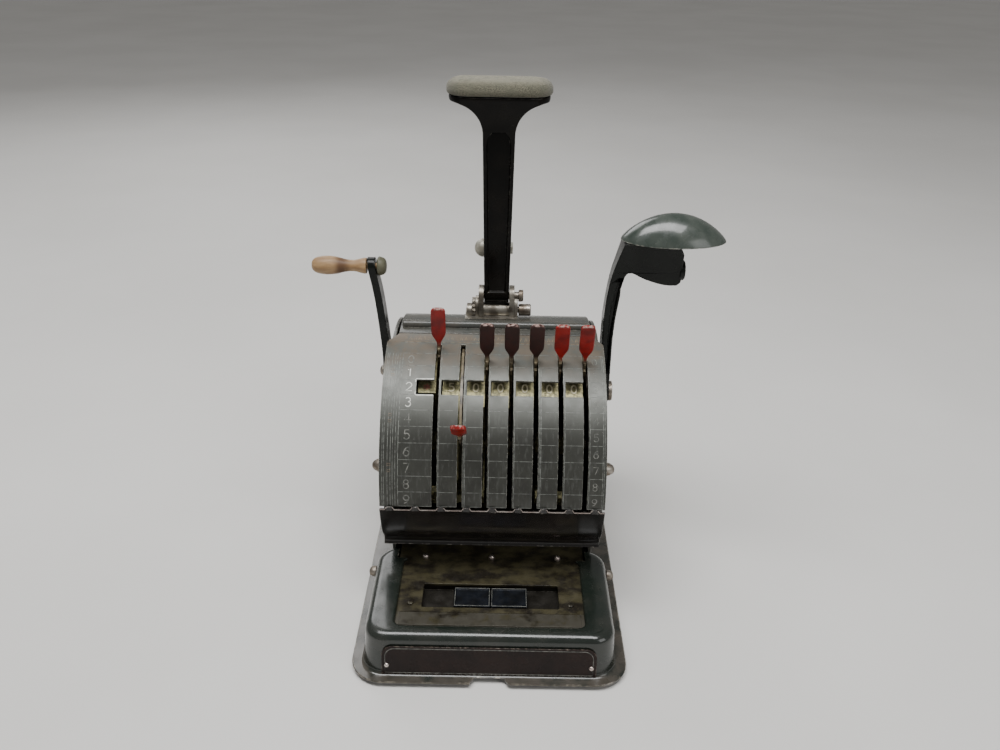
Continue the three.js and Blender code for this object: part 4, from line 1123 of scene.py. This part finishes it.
def make_selectors():
    masters = [lever_master(), sector_master(), digit_master(), star_master()]
    for i, row in enumerate(REST_ROWS):
        place = at(SLOT_XS[i], DRUM_Y, DRUM_Z)
        place = place @ Matrix.Rotation(math.radians(90 - row_angle(row)), 4, "X")
        paint = "red" if i in (0, 1, 5, 6) else "maroon"
        body = f"selector_{i + 1}"
        lever = copy_of(f"lever_{i + 1}", masters[0], place)
        fit(lever, body, M[paint], [f"selector_lever_{i + 1}"])
        sector = copy_of(f"sector_{i + 1}", masters[1], place)
        fit(sector, body, M["brass"], [f"digit_sector_{i + 1}"])
        digits = copy_of(f"sector_digits_{i + 1}", masters[2], place)
        fit(digits, body, M["type"])
        star = copy_of(f"sector_star_{i + 1}", masters[3], place)
        fit(star, body, M["mark"])
    for master in masters:
        bpy.data.objects.remove(master)


# ---- T-handle --------------------------------------------------------------
def make_bracket():
    """Cast bracket on the top cover: foot, barrel, stepped ears, toothed end, and its two pins."""
    ear = link((HANDLE_Y, BARREL_Z - 2.6), (HANDLE_Y, HANDLE_Z), 7)
    step = link((HANDLE_Y, BARREL_Z - 1), (HANDLE_Y, BARREL_Z + 3.5), 6)
    end = link((HANDLE_Y, BARREL_Z - 1.4), (HANDLE_Y, BARREL_Z - 1), 5)
    ratchet = []
    for i in range(28):
        turn = 2 * math.pi * i / 28
        radius = 5.9 if i % 2 else 7
        y, z = radius * math.cos(turn), radius * math.sin(turn)
        ratchet.append((HANDLE_Y + y, BARREL_Z + 1.6 + z))
    parts = [
        block("foot", -21, 14.5, HANDLE_Y - 11, HANDLE_Y + 9, 159.8, 161.4),
        rod_x("barrel", 5, -14, 13, HANDLE_Y, BARREL_Z),
        prism("ear_l", ear, "x", -12, -8.6),
        prism("ear_r", ear, "x", 8.6, 12),
        prism("step_l", step, "x", -14.2, -11.9),
        prism("teeth", ratchet, "x", -16.5, -14.1),
        prism("step_r", step, "x", 11.9, 14.5),
        prism("end", end, "x", -20, -16.4),
    ]
    for part in parts:
        round_edges(part, 0.4, 2, 20 if part.name.startswith("teeth") else 34)
        bake(part)
    bracket = combine(parts[0], "UNION", *parts[1:])
    seat = rod_x("seat", FACE_RADIUS + GAP, -25, 25, DRUM_Y, DRUM_Z, 180)
    upper = rod_x("bore", 2.8, -30, 30, HANDLE_Y, HANDLE_Z)
    lower = rod_x("bore", 2.3, -30, 30, HANDLE_Y, BARREL_Z)
    combine(bracket, "DIFFERENCE", seat, upper, lower)
    bracket.name = "bracket"
    fit(bracket, "housing", M["cast"], ["handle_bracket"])
    pins = [("handle_pin", HANDLE_Z, 2.5, -12, 18, 3.2), ("barrel_pin", BARREL_Z, 2, -20, 23.4, 8.4)]
    for node, z, radius, left, right, nut in pins:
        top = right - left
        seat = top - nut
        profile = [(0, 0), (radius - 0.4, 0), (radius, 0.5), (radius, seat), (3.6, seat)]
        profile += [(4, seat + 0.4), (4, top - 0.5), (3.5, top), (0, top)]
        pin = lathe("v_" + node, profile, turned_to_x(1, left, HANDLE_Y, z), 32)
        fit(pin, "housing", M["steel"], [node])


PLATE_HALF = 31
PLATE_DEPTH = 13


def handle_front_outline():
    """T in (x, z): tapering arm, round fillets, flat top plate."""
    foot, neck, radius = 8.2, 10, 20
    bottom = HANDLE_Z - 4.9
    rise = HANDLE_TOP - 2.5 - radius - bottom - 1
    right = [(foot - 1, bottom), (foot, bottom + 1)]
    right += [(foot + (neck - foot) * t, bottom + 1 + rise * t) for t in (0.3, 0.7)]
    right += arc(neck + radius, HANDLE_TOP - 3.5 - radius, radius, 180, 90, 16)
    right += [(PLATE_HALF, HANDLE_TOP - 2.2), (PLATE_HALF, HANDLE_TOP)]
    return right + [(-x, z) for x, z in reversed(right)]


def handle_side_outline():
    """The arm in (y, z): round foot, flaring towards the top plate."""
    low = arc(HANDLE_Y, HANDLE_Z, 4.9, 180, 360, 16)
    flare = [(8, HANDLE_TOP - 26), (9.2, HANDLE_TOP - 14), (PLATE_DEPTH, HANDLE_TOP - 2.2)]
    right = smooth_path(flare, 5) + [(PLATE_DEPTH, HANDLE_TOP)]
    shifted = [(HANDLE_Y + y, z) for y, z in right]
    mirrored = [(HANDLE_Y - y, z) for y, z in reversed(right)]
    return low + shifted + mirrored


def make_handle():
    arm = prism("arm", handle_front_outline(), "y", HANDLE_Y - 20, HANDLE_Y + 20)
    side = prism("side", handle_side_outline(), "x", -40, 40)
    low_y, high_y = HANDLE_Y - PLATE_DEPTH, HANDLE_Y + PLATE_DEPTH
    corners = rounded_rect(-PLATE_HALF, PLATE_HALF, low_y, high_y, 12.2, 10)
    plan = prism("plan", corners, "z", HANDLE_Z - 20, HANDLE_TOP + 5)
    combine(arm, "INTERSECT", side, plan)
    groove = [(-5.6, 178.6), (5.6, 178.6), (7.4, 276), (6.6, 281), (4, 284)]
    groove += [(-x, z) for x, z in reversed(groove[2:])]
    front = prism("front", groove, "y", HANDLE_Y - 20, HANDLE_Y - 3)
    rear = prism("rear", groove, "y", HANDLE_Y + 3, HANDLE_Y + 20)
    bore = rod_x("bore", 2.8, -30, 30, HANDLE_Y, HANDLE_Z)
    combine(arm, "DIFFERENCE", front, rear, bore)
    arm.name = "handle_channel"
    fit(arm, "t_handle", M["handle"], ["handle_arm"], 0.8)
    make_handle_pad()
    make_ball_knob()


def make_handle_pad():
    """Soft pad: round ends, full sides, a slightly uneven crowned top."""
    levels = [(0, 2), (0.5, 0.8), (1.7, 0.1), (3.6, 0), (5.6, 0.4), (7.2, 1.5)]
    levels += [(8.5, 3.3), (9.3, 5.8), (9.8, 9), (10, 12)]
    rings = []
    for height, inset in levels:
        radius = max(13.9 - inset, 1.2)
        outline = rounded_rect(-32.5 + inset, 32.5 - inset, -14 + inset, 14 - inset, radius, 12)
        ring = []
        for x, y in outline:
            wobble = 0.35 * noise.noise(Vector((x * 0.12, y * 0.12, height * 0.1)))
            z = HANDLE_TOP + GAP + height
            if 2 < height < 9.5:
                z += wobble * 0.8
            if abs(x) < 31:
                x *= 1 + wobble * 0.02
            ring.append((x, HANDLE_Y + y, min(z, HANDLE_TOP + 10.3)))
        rings.append(ring)
    pad = loft("soft_pad", rings)
    fit(pad, "t_handle", M["pad"], ["handle_pad"], sharp=80)


def make_ball_knob():
    """Ball on a cross pin behind the arm, held by a lug and a hexagon nut."""
    y, z, radius = HANDLE_Y + 14.5, 203, 6.2
    profile = [(0, -radius)]
    for i in range(1, 20):
        turn = math.pi * i / 20
        profile.append((radius * math.sin(turn), -radius * math.cos(turn)))
    profile.append((0, radius))
    ball = lathe("ball", profile, turned_to_x(1, -9.2, y, z), 36)
    lug = block("lug", -3.6, 3.6, HANDLE_Y + 3 + GAP, y + 3.5, z - 4.5, z + 4.5)
    round_edges(lug, 0.9)
    bake(lug)
    pin = rod_x("pin", 2.2, -6, 8.5, y, z)
    nut = prism("nut", circle(y, z, 4.3, 30, 6), "x", 7.6, 10.4)
    round_edges(nut, 0.4)
    bake(nut)
    fit(merge("ball_pin", ball, lug, pin, nut), "t_handle", M["ball"], ["ball_knob"])


# ---- crank -----------------------------------------------------------------
CRANK_LINE = [(-71.7, 121), (-71.7, 142), (-72.6, 158), (-74.7, 180)]
CRANK_LINE += [(-76.6, 193), (-78.6, 204), (-79.2, 212)]


def grip_profile():
    """Turned wooden grip from its round end to the collar, and its steel stem."""
    belly = [(2.6, 0.3), (4.4, 2), (5.5, 5.5), (5.9, 10.5), (5.3, 16)]
    belly += [(4.1, 21), (3.6, 24.5), (3.8, 28), (4.8, 32)]
    collar = [(5.05, 33.4), (4.9, 34.6), (4.4, 34.8), (2, 34.8), (2, 45.5), (0, 45.5)]
    return [(0, 0), (1.4, 0.05)] + smooth_path(belly, 5) + collar


def make_crank():
    path = smooth_path(CRANK_LINE, 5)
    outline = [(x - 2.4, z) for x, z in path] + [(x + 2.4, z) for x, z in reversed(path)]
    arm = prism("crank_lever", outline, "y", CRANK_Y - 12, CRANK_Y + 12)
    side = prism("side", link((CRANK_Y, CRANK_Z), (CRANK_Y, GRIP_Z), 6.2, 5.6), "x", -90, -60)
    combine(arm, "INTERSECT", side)
    shaft_bore = rod_x("bore", 3.3, -90, -60, CRANK_Y, CRANK_Z)
    grip_bore = rod_x("bore", 2.3, -90, -60, CRANK_Y, GRIP_Z)
    combine(arm, "DIFFERENCE", shaft_bore, grip_bore)
    fit(arm, "crank", M["arm"], ["crank_arm"], 0.4)
    fit(refined("crank_shaft"), "crank", M["steel"], ["crank_shaft"], 0.3)
    grip = lathe("wood_grip", grip_profile(), turned_to_x(1, -117, CRANK_Y, GRIP_Z), 48)
    fit(grip, "crank_grip", M["wood"], ["crank_grip"], sharp=60)
    cap = [(0, 3.7), (2.3, 3.7), (2.3, 0), (5.2, 0), (5.7, 0.3), (6, 1), (6, 1.5)]
    cap += [(5.7, 2.6), (5.2, 3.9), (4.4, 4.8), (3.4, 5.3), (2, 5.6), (0, 5.7)]
    cap = lathe("grip_cap", cap, turned_to_x(1, -75.3, CRANK_Y, GRIP_Z), 40)
    fit(cap, "crank_grip", M["olive"], ["crank_end_cap"])
    fit(refined("feed_link"), "feed_link", M["dark_steel"], ["feed_link"], 0.4)
    fit(refined("feed_roller"), "feed_roller", M["rubber"], ["feed_roller"], 0.4)


# ---- palm lever ------------------------------------------------------------
def palm_front_outline():
    """Swept arm in (x, z) from the shaft up to the flat head under the dome."""
    left = smooth_path([(69.4, 172), (70.6, 188), (73.2, 203.8), (79, 223.9)], 6)
    head = [(110, 223.9), (114.6, 220.6), (116.4, 217), (116.4, 198)]
    under = [(114, 195.7), (105.4, 196.1), (94, 199.4), (83.4, 203.8), (79.6, 196), (79, 188)]
    lower = smooth_path([(79, 188), (77, 171), (76.2, 156)], 5)[1:]
    return [(69.4, 108)] + left + head + smooth_path(under, 5) + lower + [(76.2, 108)]


def make_palm():
    arm = prism("palm_lever_arm", palm_front_outline(), "y", PALM_Y - 15, PALM_Y + 15)
    front = smooth_path([(8, PALM_Z + 16), (6.4, 160), (5, 188), (6, 208), (9, 226)], 5)
    foot = arc(0, PALM_Z - 1, 8, 180, 360, 14)
    profile = foot + front + [(-y, z) for y, z in reversed(front)]
    side = prism("side", [(PALM_Y + y, z) for y, z in profile], "x", 60, 120)
    combine(arm, "INTERSECT", side)
    groove_left = smooth_path([(73.2, 134), (73.2, 171), (75.1, 188), (77.8, 200)], 5)
    groove_right = smooth_path([(79.8, 200), (77.5, 188), (75, 160), (75, 134)], 5)
    groove = prism("groove", groove_left + groove_right, "y", PALM_Y - 15, PALM_Y - 2.4)
    bore = rod_x("bore", 3.3, 60, 90, PALM_Y, PALM_Z)
    combine(arm, "DIFFERENCE", groove, bore)
    round_edges(arm, 0.7)
    bake(arm)
    disc = [(0, 0), (5.8, 0), (6.4, 0.6), (6.4, 3), (5.8, 3.6), (0, 3.6)]
    disc = lathe("disc", disc, turned_to_x(1, 115, PALM_Y, 204.6), 36)
    fit(merge("palm_lever_arm", arm, disc), "palm_lever", M["arm"], ["palm_arm"])
    make_dome()
    fit(refined("palm_shaft"), "palm_lever", M["steel"], ["palm_shaft"], 0.35)
    for node in ("press_link", "platen", "ink_arm"):
        fit(refined(node), node, M["dark_steel"], [node], 0.4)
    fit(refined("ink_roller"), "ink_roller", M["rubber"], ["ink_roller"], 0.4)


def make_dome():
    """Oval pressed dome, hollow underneath, on a short post."""
    reaches = [1, 0.985, 0.96, 0.92, 0.86, 0.78, 0.69, 0.59, 0.48, 0.37, 0.26, 0.14, 0.05, 0]
    outer = [(reach, (1 - reach**2) ** 0.85) for reach in reaches]
    inner = [(r * 0.93, h * 0.87) for r, h in reversed(outer)]
    rim = [(0.93, 0), (0.955, -0.015), (0.985, -0.015), (0.997, 0.0)]
    profile = inner[:-1] + rim + outer[1:]
    scale = Matrix.Diagonal((32.9, 17.6, 16.7, 1))
    dome = lathe("dome", profile, at(DOME_X, PALM_Y, DOME_Z + 0.1) @ scale, 72)
    post = block("post", 90, 104, PALM_Y - 5, PALM_Y + 5, DOME_Z - 0.3, DOME_Z + 9)
    round_edges(post, 0.8)
    bake(post)
    fit(merge("palm_rest", dome, post), "palm_lever", M["dome"], ["palm_dome"])


# ---- the object ------------------------------------------------------------
make_pan()
make_felt()
make_name_plate()
make_base_hardware()
make_side_screws()
make_face()
make_face_lines()
make_window_frames()
make_face_digits()
make_face_ornament()
make_top_cover()
make_rear_cover()
make_apron()
make_cheeks()
fit(refined("main_shaft"), "housing", M["steel"], ["main_shaft"], 0.4)
make_selectors()
make_bracket()
make_handle()
make_crank()
make_palm()


# ---- floor, light and camera -----------------------------------------------
FLOOR_HALF = 15000


def make_floor():
    bm = bmesh.new()
    far = FLOOR_HALF
    corners = [(-far, -far, 0), (far, -far, 0), (far, far, 0), (-far, far, 0)]
    bm.faces.new([bm.verts.new(c) for c in corners])
    floor = mesh_object("floor", bm)
    n = Nodes("floor_paint")
    tone = n.mix(n.ramp(n.noise(3), 0.3, 0.7), (0.62, 0.61, 0.59), (0.66, 0.65, 0.63))
    floor.data.materials.append(n.finish(tone, 0.75, 0.0, 0.2))


def area_light(name, place, target, size, energy):
    data = bpy.data.lights.new(name, "AREA")
    data.shape = "RECTANGLE"
    data.size, data.size_y = size
    data.energy = energy
    lamp = bpy.data.objects.new(name, data)
    lamp.location = place
    aim = Vector(target) - Vector(place)
    lamp.rotation_euler = aim.to_track_quat("-Z", "Y").to_euler()
    bpy.context.scene.collection.objects.link(lamp)
    return lamp


def make_light():
    world = bpy.data.worlds.new("studio")
    world.use_nodes = True
    background = world.node_tree.nodes["Background"]
    background.inputs["Color"].default_value = (0.86, 0.85, 0.83, 1)
    background.inputs["Strength"].default_value = 0.34
    bpy.context.scene.world = world
    area_light("key", (-0.1, -0.25, 1.4), (0, 0, 0.1), (1.4, 0.5), 27)
    area_light("fill", (1.2, -1.0, 0.9), (0, 0, 0.12), (0.8, 0.8), 5)
    area_light("rear", (-0.6, 1.3, 1.1), (0, 0, 0.15), (0.8, 0.8), 8)


CAMERA_PLACE = (0.0033, -0.487, 0.400)
CAMERA_PITCH = 27.4
CAMERA_ROLL = 1.06
CAMERA_LENS = 31.64


def make_camera():
    data = bpy.data.cameras.new("photo")
    data.lens = CAMERA_LENS
    data.sensor_width = 36
    data.clip_start = 0.01
    camera = bpy.data.objects.new("photo", data)
    tilt = Matrix.Rotation(math.radians(90 - CAMERA_PITCH), 4, "X")
    roll = Matrix.Rotation(math.radians(CAMERA_ROLL), 4, "Z")
    camera.matrix_world = Matrix.Translation(CAMERA_PLACE) @ tilt @ roll
    bpy.context.scene.collection.objects.link(camera)
    bpy.context.scene.camera = camera


make_floor()
make_light()
make_camera()
